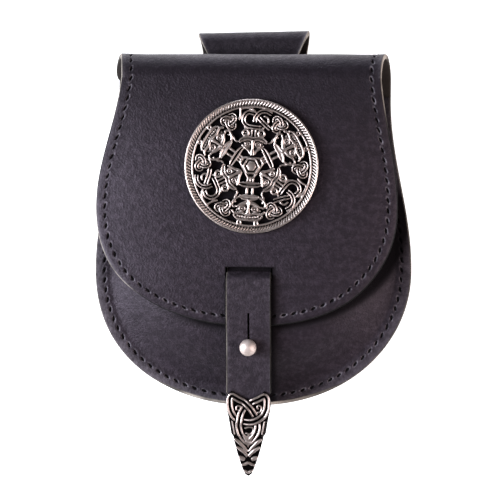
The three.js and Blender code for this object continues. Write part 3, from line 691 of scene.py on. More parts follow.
class Casting(Shells):
    """Shells of one casting; a motif is turned round the middle as it is drawn"""
    STEP = 0.4
    turn = 0.0

    def turned(self, x, y):
        """Place on the casting of a motif's point"""
        cosine, sine = math.cos(self.turn), math.sin(self.turn)
        return x * cosine - y * sine, x * sine + y * cosine

    def ribbon(self, line, width, crest, lines=1, closed=False, base=0.0, groove=0.8):
        """Ribbon with one or two ridges through points of x, y and, if given, lift and width factor"""
        rows = [(p[0], p[1], p[2] if len(p) > 2 else 0, p[3] if len(p) > 3 else 1) for p in line]
        path = smoothed(rows, self.STEP, closed)
        count = len(path)
        rings = []
        for i in range(count):
            before = path[i - 1] if closed or i > 0 else path[i]
            after = path[(i + 1) % count] if closed or i + 1 < count else path[i]
            along = after[:2] - before[:2]
            along /= np.linalg.norm(along)
            x, y, lift, factor = path[i]
            top = crest + lift
            if lines == 2:
                half = [(0.5, base), (0.48, top - 0.4), (0.4, top - 0.05), (0.3, top), (0.2, top - 0.1),
                        (0.12, top - groove)]
            else:
                half = [(0.5, base), (0.44, top - 0.3), (0.2, top)]
            ring = []
            for offset, height in [(-part, height) for part, height in half] + half[::-1]:
                px = x - along[1] * offset * width * factor
                py = y + along[0] * offset * width * factor
                ring.append((*self.turned(px, py), height))
            rings.append(ring)
        self.sections(rings, closed)

    def both_sides(self, line, width, crest, **settings):
        """Ribbon and its mirror image"""
        self.ribbon(line, width, crest, **settings)
        self.ribbon([(-p[0], *p[1:]) for p in line], width, crest, **settings)

    def right_across(self, half, width, crest, **settings):
        """Ribbon across the middle line, from its right half"""
        self.ribbon([(-p[0], *p[1:]) for p in reversed(half) if p[0]] + half, width, crest, **settings)

    def plate(self, outline, low, high, bevel=0.25):
        """Flat plate with a bevelled upper edge"""
        outline = np.asarray(outline, dtype=float)
        middle = outline.mean(axis=0)
        rings = []
        for inset, z in ((0, low), (0, high - bevel), (bevel, high)):
            ring = []
            for point in outline:
                away = point - middle
                ring.append((*self.turned(*(middle + away * (1 - inset / np.linalg.norm(away)))), z))
            rings.append(ring)
        self.sections(rings)

    def dome(self, x, y, radius, high, sides=10):
        """Round boss"""
        cx, cy = self.turned(x, y)
        angles = [2 * math.pi * s / sides for s in range(sides)]
        rings = []
        for out, rise in ((1, 0), (0.97, 0.4), (0.8, 0.75), (0.5, 0.95), (0.15, 1)):
            rings.append([(cx + radius * out * math.cos(a), cy + radius * out * math.sin(a), high * rise)
                          for a in angles])
        self.sections(rings)

    def curl(self, x, y, radius, width, crest, stretch=1.0, points=12):
        """Ring"""
        line = [(x + radius * stretch * math.cos(a), y + radius * math.sin(a))
                for a in np.linspace(0, 2 * math.pi, points, endpoint=False)]
        self.ribbon(line, width, crest, closed=True)

    def cast(self, name, place, voxel, share_kept, bright_from):
        """Fuses the shells, and marks how far each point lies under the crests round it"""
        piece = new_piece(name, self.points, self.faces, Matrix.Identity(4))
        piece.data.transform(TO_METRES.inverted())
        weld_and_face_outwards(piece, 1e-5)
        apply_modifier(piece, "REMESH", mode="VOXEL", voxel_size=voxel)
        apply_modifier(piece, "DECIMATE", ratio=share_kept)
        bpy.ops.object.shade_smooth()
        places, normals = np.empty((2, len(piece.data.vertices) * 3))
        piece.data.vertices.foreach_get("co", places)
        piece.data.vertices.foreach_get("normal", normals)
        mark(piece, "crest", under_crests(places.reshape(-1, 3), normals.reshape(-1, 3), bright_from))
        piece.data.transform(TO_METRES @ place)
        return piece


# Tarnish: the cells and how many of them round a point are searched for crests, how much it counts to lie
# below the height of bright ones, and the value on the rear
CREST_CELL = 0.2
CREST_REACH = 3
CREST_MARGIN = 2
LOW_GROUND = 0.6
REAR_TARNISH = -0.25


def under_crests(places, normals, bright_from):
    """How far each point of a casting lies under the crests round it, or under the height of bright ones"""
    reach = CREST_REACH
    low = places[:, :2].min(axis=0) - CREST_MARGIN
    across, up = np.floor((places[:, :2] - low) / CREST_CELL).astype(int).T
    heights = np.zeros((across.max() + 4 * reach, up.max() + 4 * reach))
    np.maximum.at(heights, (across, up), places[:, 2])
    crests = heights.copy()
    for dx in range(-reach, reach + 1):
        for dy in range(-reach, reach + 1):
            if dx * dx + dy * dy <= reach * reach:
                crests = np.maximum(crests, np.roll(heights, (dx, dy), (0, 1)))
    under = np.minimum(places[:, 2] - crests[across, up], LOW_GROUND * (places[:, 2] - bright_from))
    return np.where(normals[:, 2] < -0.3, REAR_TARNISH, under)


# Materials

def feed(node, inputs):
    """Sets a node's inputs, by name or in order: to values, to sockets, or to the first output of nodes"""
    if isinstance(inputs, dict):
        pairs = [(node.inputs[key], value) for key, value in inputs.items()]
    else:
        pairs = zip([socket for socket in node.inputs if not socket.is_unavailable], inputs)
    for socket, value in pairs:
        if isinstance(value, bpy.types.Node):
            value = next(output for output in value.outputs if not output.is_unavailable)
        if isinstance(value, bpy.types.NodeSocket):
            node.id_data.links.new(value, socket)
        else:
            socket.default_value = value


def add_node(tree, kind, inputs=(), **settings):
    """Adds a node with its settings and inputs"""
    node = tree.nodes.new("ShaderNode" + kind)
    for key, value in settings.items():
        setattr(node, key, value)
    feed(node, inputs)
    return node


def new_material(name):
    """Material, its shader, and the function that adds nodes to it"""
    material = bpy.data.materials.new(name)
    material.use_nodes = True
    tree = material.node_tree
    return material, tree.nodes["Principled BSDF"], partial(add_node, tree)


def per_metre(millimetres):
    """Texture scale for a feature of that size"""
    return 1 / (millimetres * MM)


def waxed_black_leather(name, under_strap=False, under_flap=False):
    # Vegetable-tanned cowhide, dyed through and waxed: a violet black with a soft sheen, fine pores, faint
    # streaks across the hide, grey where it is rubbed and where highlights are painted, black where shade
    # is painted
    material, shader, add = new_material(name)
    place = add("TexCoord").outputs["Object"]
    drawn_out = add("Mapping", {"Vector": place, "Scale": (0.22, 1, 1)})
    clouds = add("TexNoise", [place, per_metre(34), 5, 0.65])
    flecks = add("TexNoise", [place, per_metre(2.6), 6, 0.75])
    streaks = add("TexNoise", [drawn_out, per_metre(1.8), 4, 0.7])
    body = add("Mix", [clouds, linear("#0e0b0f"), linear("#231d24")], data_type="RGBA")
    fleck_share = add("MapRange", [flecks, 0.45, 0.7])
    flecked = add("Mix", [fleck_share, body, linear("#352e36")], data_type="RGBA")
    streak_share = add("MapRange", [streaks, 0.52, 0.72, 0, 0.4])
    streaked = add("Mix", [streak_share, flecked, linear("#322b34")], data_type="RGBA")
    # Painted shade: the leather's colour darkens towards the top of the bag
    across, up, _ = add("SeparateXYZ", [place]).outputs
    top_shade = add("MapRange", [up, 30 * MM, 75 * MM, 0, 0.6], interpolation_type="SMOOTHSTEP")
    top_shaded = add("Mix", [top_shade, streaked, linear("#07060a")], data_type="RGBA")
    # Stitches along the seam, millimetres in from it, and how much the leather is rubbed there, with
    # painted highlights added and, below 0, painted shade
    marks = add("Attribute", attribute_name="seam").outputs["Vector"]
    stitches, inwards, wear_highlight_and_shade = add("SeparateXYZ", [marks]).outputs
    stitch = add("Math", [stitches], operation="FRACT")
    along = add("Math", [stitch, STITCH_PITCH, -STITCH_PITCH / 2], operation="MULTIPLY_ADD")
    on_seam = add("CombineXYZ", [along, inwards])
    awl = {"Vector": on_seam, "Rotation": (0, 0, AWL_SLANT), "Scale": (AWL_LENGTH, AWL_WIDTH, 1)}
    pricked = add("Mapping", awl, vector_type="TEXTURE")
    reach = add("VectorMath", [pricked], operation="LENGTH")
    # Painted shade: the slits of the seams are painted black
    slit = add("MapRange", [reach, 0.85, 1.1, 1, 0])
    lip = add("MapRange", [reach, 1.1, 2, 0.7, 0])
    # Painted highlight: the lips round the slits are greyed in patches
    lip_glints = add("MapRange", [flecks, 0.44, 0.64, 0, lip])
    uneven = add("MapRange", [flecks, 0.34, 0.7, 0.2])
    rubbed_and_highlit = add("Math", [wear_highlight_and_shade, uneven], operation="MULTIPLY")
    worn = add("Math", [lip_glints, rubbed_and_highlit], operation="MAXIMUM")
    greyed = add("Mix", [worn, top_shaded, linear("#8b858c")], data_type="RGBA")
    # Painted shade: the leather under the disc is painted black
    cover = {"Vector": place, "Location": DISC_CENTRE, "Scale": (DISC_COVER, DISC_COVER, DISC_COVER / 4)}
    mount = add("Mapping", cover, vector_type="TEXTURE")
    from_mount = add("VectorMath", [mount], operation="LENGTH")
    disc_shade = add("MapRange", [from_mount, 0.97, 1, 0.9, 0])
    # Painted shade: where the wear value is below 0 the leather is painted black
    edge_shade = add("MapRange", [wear_highlight_and_shade, 0, PAINTED_SHADE])
    dark = [slit, edge_shade]
    if under_strap:
        # Painted shadow: under the strap and just beside it, from the slot down, the leather is painted
        # black
        shade = None
        for axis, start, end in STRAP_SHADE:
            side = add("MapRange", [up if axis == "Y" else across, start * MM, end * MM],
                       interpolation_type="SMOOTHSTEP")
            shade = add("Math", [shade, side], operation="MULTIPLY") if shade else side
        dark.append(shade)
    if under_flap:
        # Painted shade: beside the flap's lower edge the pouch is painted black, less so on the left, where
        # the light falls
        flap = {"Vector": place, "Location": FLAP_CENTRE, "Rotation": (LIE_TILT, 0, 0), "Scale": FLAP_REACH}
        on_flap = add("Mapping", flap, vector_type="TEXTURE")
        flap_across, flap_up, _ = add("SeparateXYZ", [on_flap]).outputs
        below = add("Math", [flap_up, 0], operation="MINIMUM")
        powers = []
        for part in (flap_across, below):
            distance = add("Math", [part], operation="ABSOLUTE")
            powers.append(add("Math", [distance, FLAP_ROUND_POWER], operation="POWER"))
        beyond = add("Math", powers, operation="ADD")
        shelter = add("MapRange", [flap_across, -0.75, -0.35])
        lower = add("MapRange", [flap_up, 0.1, 0.3, shelter, 0])
        dark.append(add("MapRange", [beyond, 1, 1.22, lower, 0], interpolation_type="SMOOTHSTEP"))
    # Painted shade: the masks above paint the leather black
    unlit = disc_shade
    for mask in dark:
        unlit = add("Math", [unlit, mask], operation="MAXIMUM")
    shade_painted = add("Mix", [unlit, greyed, linear("#040304")], data_type="RGBA")
    pores = add("TexVoronoi", [place, per_metre(0.8)], feature="SMOOTH_F1")
    grain = add("Math", [pores, 0.5, flecks], operation="MULTIPLY_ADD")
    relief = add("Math", [slit, -2, grain], operation="MULTIPLY_ADD")
    bump = add("Bump", {"Height": relief, "Strength": 0.62, "Distance": 0.5 * MM})
    mottled = add("Math", [clouds, flecks], operation="ADD")
    gloss = add("MapRange", [mottled, 0.75, 1.25, 0.56, 0.36])
    dull = add("Math", [gloss, unlit], operation="MAXIMUM")
    feed(shader, {"Base Color": shade_painted, "Roughness": dull, "Normal": bump, "IOR": 1.5,
                  "Specular IOR Level": 0.26, "Specular Tint": linear("#fcecfc")})
    return material


def cut_leather_edge():
    # The hide's fibres along a cut, matt: dyed black, tan and patchy where the seam attribute makes it raw;
    # on the flap's lower left the tan is a painted highlight
    material, shader, add = new_material("cut_leather_edge")
    place = add("TexCoord").outputs["Object"]
    fibres = add("TexNoise", [place, per_metre(0.8), 5, 0.7])
    stains = add("TexNoise", [place, per_metre(9), 3])
    tan = add("Mix", [fibres, linear("#7d736b"), linear("#cdc4ba")], data_type="RGBA")
    marks = add("Attribute", attribute_name="seam").outputs["Vector"]
    raw = add("SeparateXYZ", [marks]).outputs["Z"]
    patches = add("MapRange", [stains, 0.35, 0.6, 0.5, 1.15])
    share = add("Math", [raw, patches], operation="MULTIPLY", use_clamp=True)
    tone = add("Mix", [share, linear("#070606"), tan], data_type="RGBA")
    bump = add("Bump", {"Height": fibres, "Strength": 0.5, "Distance": 0.2 * MM})
    feed(shader, {"Base Color": tone, "Normal": bump, "Roughness": 0.8, "Specular IOR Level": 0.15})
    return material


def leather_flesh_side():
    # The hide's rough inner side: short nap, dark brown, no shine
    material, shader, add = new_material("leather_flesh_side")
    place = add("TexCoord").outputs["Object"]
    nap = add("TexNoise", [place, per_metre(1.1), 6, 0.75])
    tone = add("Mix", [nap, linear("#171312"), linear("#352c28")], data_type="RGBA")
    bump = add("Bump", {"Height": nap, "Strength": 0.6, "Distance": 0.3 * MM})
    feed(shader, {"Base Color": tone, "Normal": bump, "Roughness": 0.9})
    return material


def antiqued_silver(name, polished):
    # Silver plate, blackened and rubbed back: bright crests, black hollows, a fine grain; satin on the stud
    material, shader, add = new_material(name)
    place = add("TexCoord").outputs["Object"]
    grain = add("TexNoise", [place, per_metre(0.7), 4, 0.65])
    patches = add("TexNoise", [place, per_metre(5), 2])
    crest = add("Attribute", attribute_name="crest").outputs["Fac"]
    uneven = add("Math", [grain, 0.35, crest], operation="MULTIPLY_ADD")
    bright = add("MapRange", [uneven, -0.4, 0.1])
    silver = add("Mix", [patches, linear("#c9b8b2"), linear("#ece0da")], data_type="RGBA")
    colour = add("Mix", [bright, linear("#0d0b0b"), silver], data_type="RGBA")
    roughness = add("MapRange", [bright, 0, 1, 0.7, polished])
    bump = add("Bump", {"Height": grain, "Strength": 0.25, "Distance": 0.1 * MM})
    feed(shader, {"Base Color": colour, "Roughness": roughness, "Normal": bump, "Metallic": 1})
    return material


def waxed_thread():
    # Black linen thread, waxed: two plies, a dull gleam
    material, shader, add = new_material("waxed_linen_thread")
    place = add("TexCoord").outputs["Object"]
    plies = add("TexNoise", [place, per_metre(0.5), 3])
    tone = add("Mix", [plies, linear("#030203"), linear("#0b090b")], data_type="RGBA")
    bump = add("Bump", {"Height": plies, "Strength": 0.4, "Distance": 0.1 * MM})
    feed(shader, {"Base Color": tone, "Normal": bump, "Roughness": 0.8, "Specular IOR Level": 0.2})
    return material


def pale_floor():
    # White paper, lit so evenly that it has no shadow
    material, shader, _ = new_material("white_paper_floor")
    feed(shader, {"Base Color": linear("#f4f4f4"), "Roughness": 0.9, "Emission Color": (1, 1, 1, 1),
                  "Emission Strength": 1})
    return material


LEATHER_FACE = waxed_black_leather("waxed_black_leather")
FLAP_FACE = waxed_black_leather("waxed_black_leather_flap", under_strap=True)
POUCH_FACE = waxed_black_leather("waxed_black_leather_pouch", under_strap=True, under_flap=True)
LEATHER_CUT = cut_leather_edge()
LEATHER_FLESH = leather_flesh_side()
LEATHER_LOOK = [LEATHER_FACE, LEATHER_CUT, LEATHER_FLESH]
FLAP_LOOK = [FLAP_FACE, LEATHER_CUT, LEATHER_FLESH]
POUCH_LOOK = [POUCH_FACE, LEATHER_CUT, LEATHER_FLESH]
SILVER = antiqued_silver("antiqued_cast_silver", polished=0.3)
SATIN_SILVER = antiqued_silver("satin_silver", polished=0.62)
THREAD = waxed_thread()


# Back, roll and flap

def back_and_flap():
    rows = evenly_spaced(flap_rows(), ROW_STEP)
    rows += evenly_spaced(pouch_rows("back", ROLL_Y), BACK_ROW_STEP)[::-1]
    piece, sewn = leather_panel("back_roll_and_flap", rows, flap_cut, False)
    dress(piece, "black_leather", FLAP_LOOK, "back_and_flap")
    slot = punch("block", (2 * SLOT_HALF_WIDTH, SLOT_HIGH_Y - SLOT_LOW_Y, SLOT_PUNCH),
                 (0, (SLOT_LOW_Y + SLOT_HIGH_Y) / 2, FLAP_FRONT_Z))
    cut_through(piece, [slot])
    thread_bits("flap_and_back_thread", sewn)


def front_panel():
    rows = evenly_spaced(pouch_rows("front", MOUTH_Y), ROW_STEP)
    piece, sewn = leather_panel("pouch_front", rows, slanted_cut, True)
    dress(piece, "black_leather", POUCH_LOOK, "front_panel")
    thread_bits("pouch_thread", sewn)


back_and_flap()
front_panel()


# Closing strap

def strap_front(y):
    return STRAP_BUTTONED[1] - (STRAP_BUTTONED[0] - y) * math.tan(STRAP_SLOPE)


def closing_strap():
    tongue = ((9, 6.6), (6, 7.4), (2.9, 8.3), (1, 10), (-1, 10))
    rows = [(STRAP_END_Y - below, strap_front(STRAP_END_Y - below), half) for below, half in tongue]
    rows += [(y, strap_front(y), STRAP_HALF_WIDTH) for y in (12, 17, 22)]
    over = FLAP_FRONT_Z + GAP + LEATHER
    under = FLAP_FRONT_Z - LEATHER - GAP
    through = bend(STRAP_BEND_Y, over, STRAP_BEND_Y + STRAP_BEND_LENGTH, under)
    tail = [(y, under) for y in (68, 76, 85, STRAP_TAIL_Y)]
    rows += [(y, z, STRAP_HALF_WIDTH) for y, z in [STRAP_BUTTONED, *STRAP_OVER_FLAP, *through, *tail]]
    path = smoothed(rows, STRIP_STEP)

    def slit_lip(x, y):
        """The strap's face sinks at the slit"""
        beside = math.exp(-((abs(x) - SLIT_WIDTH / 2) / SLIT_LIP_WIDTH) ** 2)
        within = blend(y, SLIT_HIGH_Y + 1, SLIT_HIGH_Y - 1) * blend(y, SLIT_LOW_Y - 1, SLIT_LOW_Y)
        return SLIT_LIP_DEPTH * beside * within

    piece = leather_strip("closing_strap_leather", path, STRAP_CUTS_RAW_AND_LIT, slit_lip, STRAP_SHADED_FROM_Y)
    dress(piece, "black_leather", LEATHER_LOOK, "closing_strap")
    slit = punch("block", (SLIT_WIDTH, SLIT_HIGH_Y - SLIT_LOW_Y, STRAP_PUNCH),
                 (0, (SLIT_LOW_Y + SLIT_HIGH_Y) / 2, STRAP_PUNCH_Z))
    hole = punch("round", (2 * STUD_HOLE, 2 * STUD_HOLE, STRAP_PUNCH), (0, STUD_Y - 1, STRAP_PUNCH_Z))
    cut_through(piece, [slit, hole])


closing_strap()


# Belt loop

def belt_loop():
    sine, cosine = math.sin(LIE_TILT), math.cos(LIE_TILT)
    radius = ((LOOP_TOP_Y - POUCH_BOTTOM_Y) * sine - GAP * cosine) / (1 + cosine + sine)
    fold_y, fold_z = LOOP_TOP_Y - radius, -GAP - radius
    rows = [(y, -GAP) for y in (LOOP_FRONT_SEWN_Y, 138, 149, BAG_TOP_Y)]
    for turn in np.linspace(0, math.pi + LIE_TILT, LOOP_FOLD_ROWS):
        rows.append((fold_y + radius * math.sin(turn), fold_z + radius * math.cos(turn)))
    slope = math.tan(LIE_TILT)
    rows += [(y, (POUCH_BOTTOM_Y - y) * slope) for y in LOOP_FLAT_ROWS]
    rear_z = -GAP - LEATHER
    rows += bend(LOOP_FLAT_TO_Y, (POUCH_BOTTOM_Y - LOOP_FLAT_TO_Y) * slope, LOOP_REAR_SEWN_HIGH_Y, rear_z)
    rows += [(76, rear_z), (LOOP_REAR_SEWN_LOW_Y, rear_z)]
    path = smoothed(rows, LOOP_STEP)
    along = lengths_along(path)
    fold = along[np.argmax(path[:, 0])]
    halves = []
    for a in along:
        end, spread = LOOP_FRONT_TAPER if a < fold else LOOP_REAR_TAPER
        halves.append(mix(end, LOOP_FOLD_HALF, math.exp(-((a - fold) / spread) ** 2)))
    skew = Matrix.Rotation(LOOP_SKEW, 4, Vector((0, sine, cosine)))
    place = BAG_PLACE @ Matrix.Translation((LOOP_FRONT_SEWN_Y * math.sin(LOOP_SKEW), 0, 0)) @ skew
    piece = leather_strip("belt_loop_leather", np.column_stack([path, halves]), LOOP_RAW_CUTS, place=place)
    dress(piece, "black_leather", LEATHER_LOOK, "belt_loop")
    corners = [(x, y, rear_z) for x, y in LOOP_SEWN_BOX]
    sewn_lines = []
    for start, end in zip(corners, corners[1:] + corners[:1]):
        stitches = round(math.dist(start, end) / STITCH_PITCH)
        line = np.linspace(start, end, 12 * stitches + 1)
        facing = np.tile((0.0, 0, -1), (len(line), 1))
        sewn_lines.append((line, facing, np.linspace(0, stitches, len(line))))
    thread_bits("belt_loop_thread", sewn_lines, LOOP_THREAD_DEPTH, place)


belt_loop()


# Ball stud, turned on the lathe

def panel_slope():
    step = 0.5
    return math.atan2(panel_rise(STUD_Y + step) - panel_rise(STUD_Y - step), 2 * step)


def ball_stud():
    foot, plate, neck = 3.8, 0.9, 1.9
    profile = [(foot, GAP), (foot, GAP + 0.5), (foot * 0.8, GAP + plate), (neck, GAP + plate + 0.15)]
    start = math.asin(neck / STUD_BALL)
    for i in range(14):
        turn = mix(start, math.pi * 0.86, i / 13)
        profile.append((STUD_BALL * math.sin(turn), STUD_BALL_RISE - STUD_BALL * math.cos(turn)))
    flat_radius, flat_height = profile[-1]
    profile += [(flat_radius * 0.8, flat_height + 0.12), (flat_radius * 0.4, flat_height + 0.17)]
    bpy.ops.object.select_all(action="DESELECT")
    bpy.ops.mesh.primitive_circle_add(vertices=40, radius=profile[0][0] * MM, fill_type="NGON")
    stud = bpy.context.object
    stud.name = "ball_stud"
    bpy.ops.object.mode_set(mode="EDIT")
    bpy.ops.mesh.select_all(action="SELECT")
    bpy.ops.transform.translate(value=(0, 0, profile[0][1] * MM))
    for (radius, height), (next_radius, next_height) in zip(profile, profile[1:]):
        lift = (0, 0, (next_height - height) * MM)
        bpy.ops.mesh.extrude_region_move(TRANSFORM_OT_translate={"value": lift})
        shrink = next_radius / radius
        bpy.ops.transform.resize(value=(shrink, shrink, 1), center_override=(0, 0, next_height * MM))
    bpy.ops.mesh.select_all(action="SELECT")
    bpy.ops.mesh.normals_make_consistent(inside=False)
    bpy.ops.object.mode_set(mode="OBJECT")
    heights = [v.co.z / MM for v in stud.data.vertices]
    mark(stud, "crest", [mix(-0.5, 0, blend(h, 2.0, 6.5)) for h in heights])
    standing = Matrix.Translation((0, STUD_Y, BORDER_FRONT_Z + panel_rise(STUD_Y)))
    turned = standing @ Matrix.Rotation(panel_slope(), 4, "X")
    stud.data.transform(TO_METRES @ BAG_PLACE @ turned @ TO_METRES.inverted())
    select_only(stud)
    bpy.ops.object.shade_smooth_by_angle(angle=math.radians(35))
    dress(stud, "antique_silver", [SATIN_SILVER], "button_stud")


ball_stud()


# Cast strap end: ear tips at y = 0, its point towards -Y

STRAP_END_OUTLINE = [
    (0, -4.7), (2, -4.0), (4.6, -2.2), (7.4, 0.3), (8.7, -1.4), (9.5, -3.1), (9.85, -6.0), (9.5, -9.6),
    (8.9, -12.0), (7.7, -19.3), (6.7, -20.7), (6.5, -22.3), (5.8, -24.9), (4.8, -28.8), (3.5, -32.7),
    (2.5, -35.5), (1.5, -37.7), (0, -38.7),
]
# Ribbon of the knot, its third value the lift where it passes over and under
STRAP_END_KNOT = [
    (-7.3, -2.1), (-6.2, -2.5), (-4.4, -3.6), (-2.2, -4.6), (-0.2, -6.3, 0.35), (1.6, -8.6, 0.2),
    (3.4, -12.2, -0.6), (4.2, -16.1), (3.1, -19.8), (0, -22.9), (-3.1, -19.8), (-4.2, -16.3),
    (-4.0, -13.5, 0.35), (-3.3, -10.2, 0.1), (-1.9, -7.7, -0.5), (0.2, -5.9, -0.6), (2.2, -4.5),
    (4.6, -3.4), (6.3, -2.5), (7.3, -2.1), (8.1, -3.2), (8.3, -5.2), (8.0, -8.2), (6.5, -11.1),
    (3.5, -13.2, 0.35), (0.3, -13.9, 0.1), (-3.9, -13.3, -0.6), (-6.3, -11.4), (-7.9, -8.4), (-8.3, -5.2),
    (-8.1, -3.2),
]
STRAP_END_CURLS = [
    [(-5.4, -8.7), (-5.3, -7.3), (-4.3, -6.6), (-3.3, -7.2), (-3.5, -8.4), (-4.3, -8.5)],
    [(4.2, -9.6), (5.6, -8.9), (5.9, -7.3), (4.9, -6.3), (3.9, -7.0), (4.3, -8.0)],
    [(-1.5, -16.7), (0.4, -16.2), (2.1, -16.6), (2.0, -18.3), (0.6, -19.4), (-1.1, -18.8)],
]
# Chevrons and lobes of the beast's head, right side: line and width
STRAP_END_HEAD = [
    ([(6.1, -21.6, 0, 0.6), (4.4, -22.8), (2.4, -24.8), (0.3, -27.2, 0, 0.7)], 1.7),
    ([(5.3, -25.2, 0, 0.6), (3.6, -26.2), (1.9, -27.6), (0.2, -29.4)], 1.6),
    ([(4.1, -29.6, 0, 0.6), (3.0, -30.3, 0, 1.2), (1.5, -30.9)], 1.8),
    ([(3.2, -33.4, 0, 0.7), (1.8, -33.2), (0, -32.3)], 1.4),
    ([(2.1, -35.9, 0, 0.7), (1.1, -36.2), (0, -36.9)], 1.3),
]


def cast_strap_end():
    casting = Casting()
    outline = whole_outline(STRAP_END_OUTLINE)
    floor, crest, inside = 1.5, 2.8, 1.3
    rear_at = [-38.6, -31.6, -25.4, -20.7, -11.4, 0]
    rear_z = [0.5, -0.2, -0.8, -1.4, -2.2, -2.3]
    pocket_end = -9.4
    casting.sections([
        [(x, y, inside if y > pocket_end else np.interp(y, rear_at, rear_z)) for x, y in outline],
        [(x, y, floor) for x, y in outline],
    ])
    rear = [(x, min(y, -0.6)) for x, y in outline]
    casting.sections([
        [(x * 0.97, y, np.interp(y, rear_at, rear_z)) for x, y in rear],
        [(x, y, -inside if y > pocket_end else 0.7) for x, y in rear],
    ])
    wall = [(8.6, -3.2), (9.5, -3.3), (9.85, -6.4), (9.5, -9.6), (9.0, -11.4), (8.5, -10.5)]
    for side in (1, -1):
        casting.sections([[(side * x, y, z) for x, y in wall[::side]] for z in (-2.2, floor)])
    casting.both_sides([(7.2, -13.6), (6.6, -16.6), (6.0, -19.6)], 0.9, 2.1, base=inside)
    for line, width in STRAP_END_HEAD:
        casting.both_sides(line, width, crest - 0.1, base=inside)
    casting.ribbon(STRAP_END_KNOT, 3.1, crest, lines=2, closed=True, base=inside, groove=0.9)
    for line in STRAP_END_CURLS:
        casting.ribbon(line, 0.95, crest - 0.35, base=inside)
    casting.plate([(-2.6, -20.2), (0, -19.9), (2.6, -20.2), (0, -25.6)], inside, crest - 0.3)
    tongue_z = strap_front(STRAP_END_Y) - LEATHER / 2 / math.cos(STRAP_SLOPE)
    hung = Matrix.Translation((0, STRAP_END_Y, tongue_z)) @ Matrix.Rotation(STRAP_SLOPE, 4, "X")
    piece = casting.cast("cast_strap_end", BAG_PLACE @ hung, voxel=0.13, share_kept=0.5, bright_from=2.4)
    dress(piece, "antique_silver", [SILVER], "strap_end")


cast_strap_end()


# Pierced disc: motifs are drawn with x across and y out from the disc's centre, then turned round it

OUTER_MASK_TURNS = [math.radians(a) for a in (180, 300, 60)]
INNER_MASK_TURNS = [math.radians(a) for a in (0, 120, 240)]
KNOT_TURNS = [math.radians(a) for a in (30, 90, 150, 210, 270, 330)]
# Section of the rim: distance from the centre and height; the hatched part lies inside the smooth edge
RIM_SECTION = [
    (27.0, 0), (27.0, 0.9), (27.15, 1.4), (27.5, 1.75), (27.9, 1.95), (28.3, 2.1), (28.7, 2.25),
    (29.05, 2.4), (29.4, 2.35), (29.7, 2.0), (29.88, 1.3), (29.9, 0),
]
RIM_STROKES = 132
RIM_HATCHED_TO = 28.8
RIM_SLANT = 3.2
THIN_RING = 26.3


def corded_rim(casting):
    rings = []
    for angle in np.linspace(0, 2 * math.pi, RIM_STROKES * 8, endpoint=False):
        ring = []
        for out, up in RIM_SECTION:
            stroke = max(math.cos(RIM_STROKES * angle + RIM_SLANT * (out - RIM_SECTION[0][0])), 0) ** 1.5
            depth = 0.75 * stroke if 0 < up and out < RIM_HATCHED_TO else 0
            ring.append((out * math.cos(angle), out * math.sin(angle), max(up - depth, 0)))
        rings.append(ring)
    casting.sections(rings, closed=True)
    casting.curl(0, 0, THIN_RING, 1.0, 1.75, points=60)


def outer_mask(casting):
    """Round mask with a toothed moustache, its forehead towards the centre, on bars and posts"""
    for x in (-1.25, 0, 1.25):
        casting.ribbon([(x, 4.6), (x, 7.2)], 0.95, 1.85)
    casting.right_across([(2.5, 8.2), (4.6, 7.9, 0, 0.6)], 2.6, 2.1, lines=2)
    casting.both_sides([(1.25, 9), (1.25, 11.2, 0.2), (1.25, 13.2)], 1.35, 1.6)
    casting.right_across([(0, 14), (2.4, 13.8), (4.4, 13.4, 0, 0.4)], 2.7, 2.1, lines=2, groove=0.4)
    face = [(0, 15.2), (2.4, 16.0), (4.8, 17.6), (6.0, 20.6), (4.8, 23.4), (0, 23.9)]
    casting.plate(whole_outline(face), 0, 1.5)
    casting.right_across([(0, 16.3, 0, 1.2), (2.7, 16.7), (5.4, 18.2, 0, 0.5)], 1.6, 2.2)
    casting.ribbon([(0, 14.9, 0, 1), (0, 18, 0, 0.9), (0, 19.8, 0, 1.3), (0, 20.9, 0, 2)], 1.3, 2.5)
    for x in (-2.75, 2.75):
        casting.curl(x, 18.9, 1.0, 0.5, 2.0, stretch=1.35)
        casting.dome(x, 18.9, 0.5, 2.2)
    casting.right_across([(0, 21.6), (3, 20.8), (6.0, 21.0), (7.4, 19.6, 0, 0.7)], 1.25, 2.3)
    casting.right_across([(0, 23.8), (4.6, 23.4), (6.6, 21.7, 0, 0.7)], 1.15, 2.2)
    for k in range(-4, 5):
        casting.dome(k * 1.15, 22.55 - 0.03 * k * k, 0.42, 2.0, sides=8)
    for x in (-3.8, 3.8):
        casting.curl(x, 25.0, 0.8, 0.85, 1.9)
    casting.both_sides([(4.3, 13.6), (6.4, 14.9), (7.4, 16.8), (6.6, 18.3), (5.4, 17.8)], 1.05, 1.95)


def inner_mask(casting):
    """Pointed mask with curled ears, its snout towards the centre"""
    face = [(0, 4.6), (1.1, 5.3), (2.2, 7.2), (4.4, 9.0), (4.4, 11.6), (0, 12.2)]
    casting.plate(whole_outline(face), 0, 1.5)
    casting.ribbon([(0, 4.8, 0, 1.4), (0, 6.2, 0, 1.6), (0, 8.2, 0, 0.9), (0, 11.2, 0, 1.3)], 1.3, 2.4)
    casting.both_sides([(0.8, 5.4), (1.9, 6.9), (3.4, 8.0), (4.9, 9.3, 0, 0.7)], 1.2, 2.15)
    for x in (-2.3, 2.3):
        casting.curl(x, 9.65, 0.9, 0.5, 2.0, stretch=1.3)
        casting.dome(x, 9.65, 0.45, 2.2)
    brow = [(0, 11.9), (2.5, 12.3), (4.7, 11.6), (6.2, 10.3, 0, 0.5)]
    casting.right_across(brow, 2.1, 2.25, lines=2, groove=0.6)
    casting.both_sides([(5.9, 10.5), (7.8, 10.8), (9.0, 12.6), (11.2, 13.4)], 0.95, 1.75)
    for x in (-3.5, 3.5):
        casting.curl(x, 14.6, 1.35, 1.1, 2.05)
        casting.dome(x * 0.96, 14.5, 0.45, 1.9)
    casting.both_sides([(0.8, 12.6), (0.8, 14.6), (0.8, 16.4)], 0.95, 1.85)


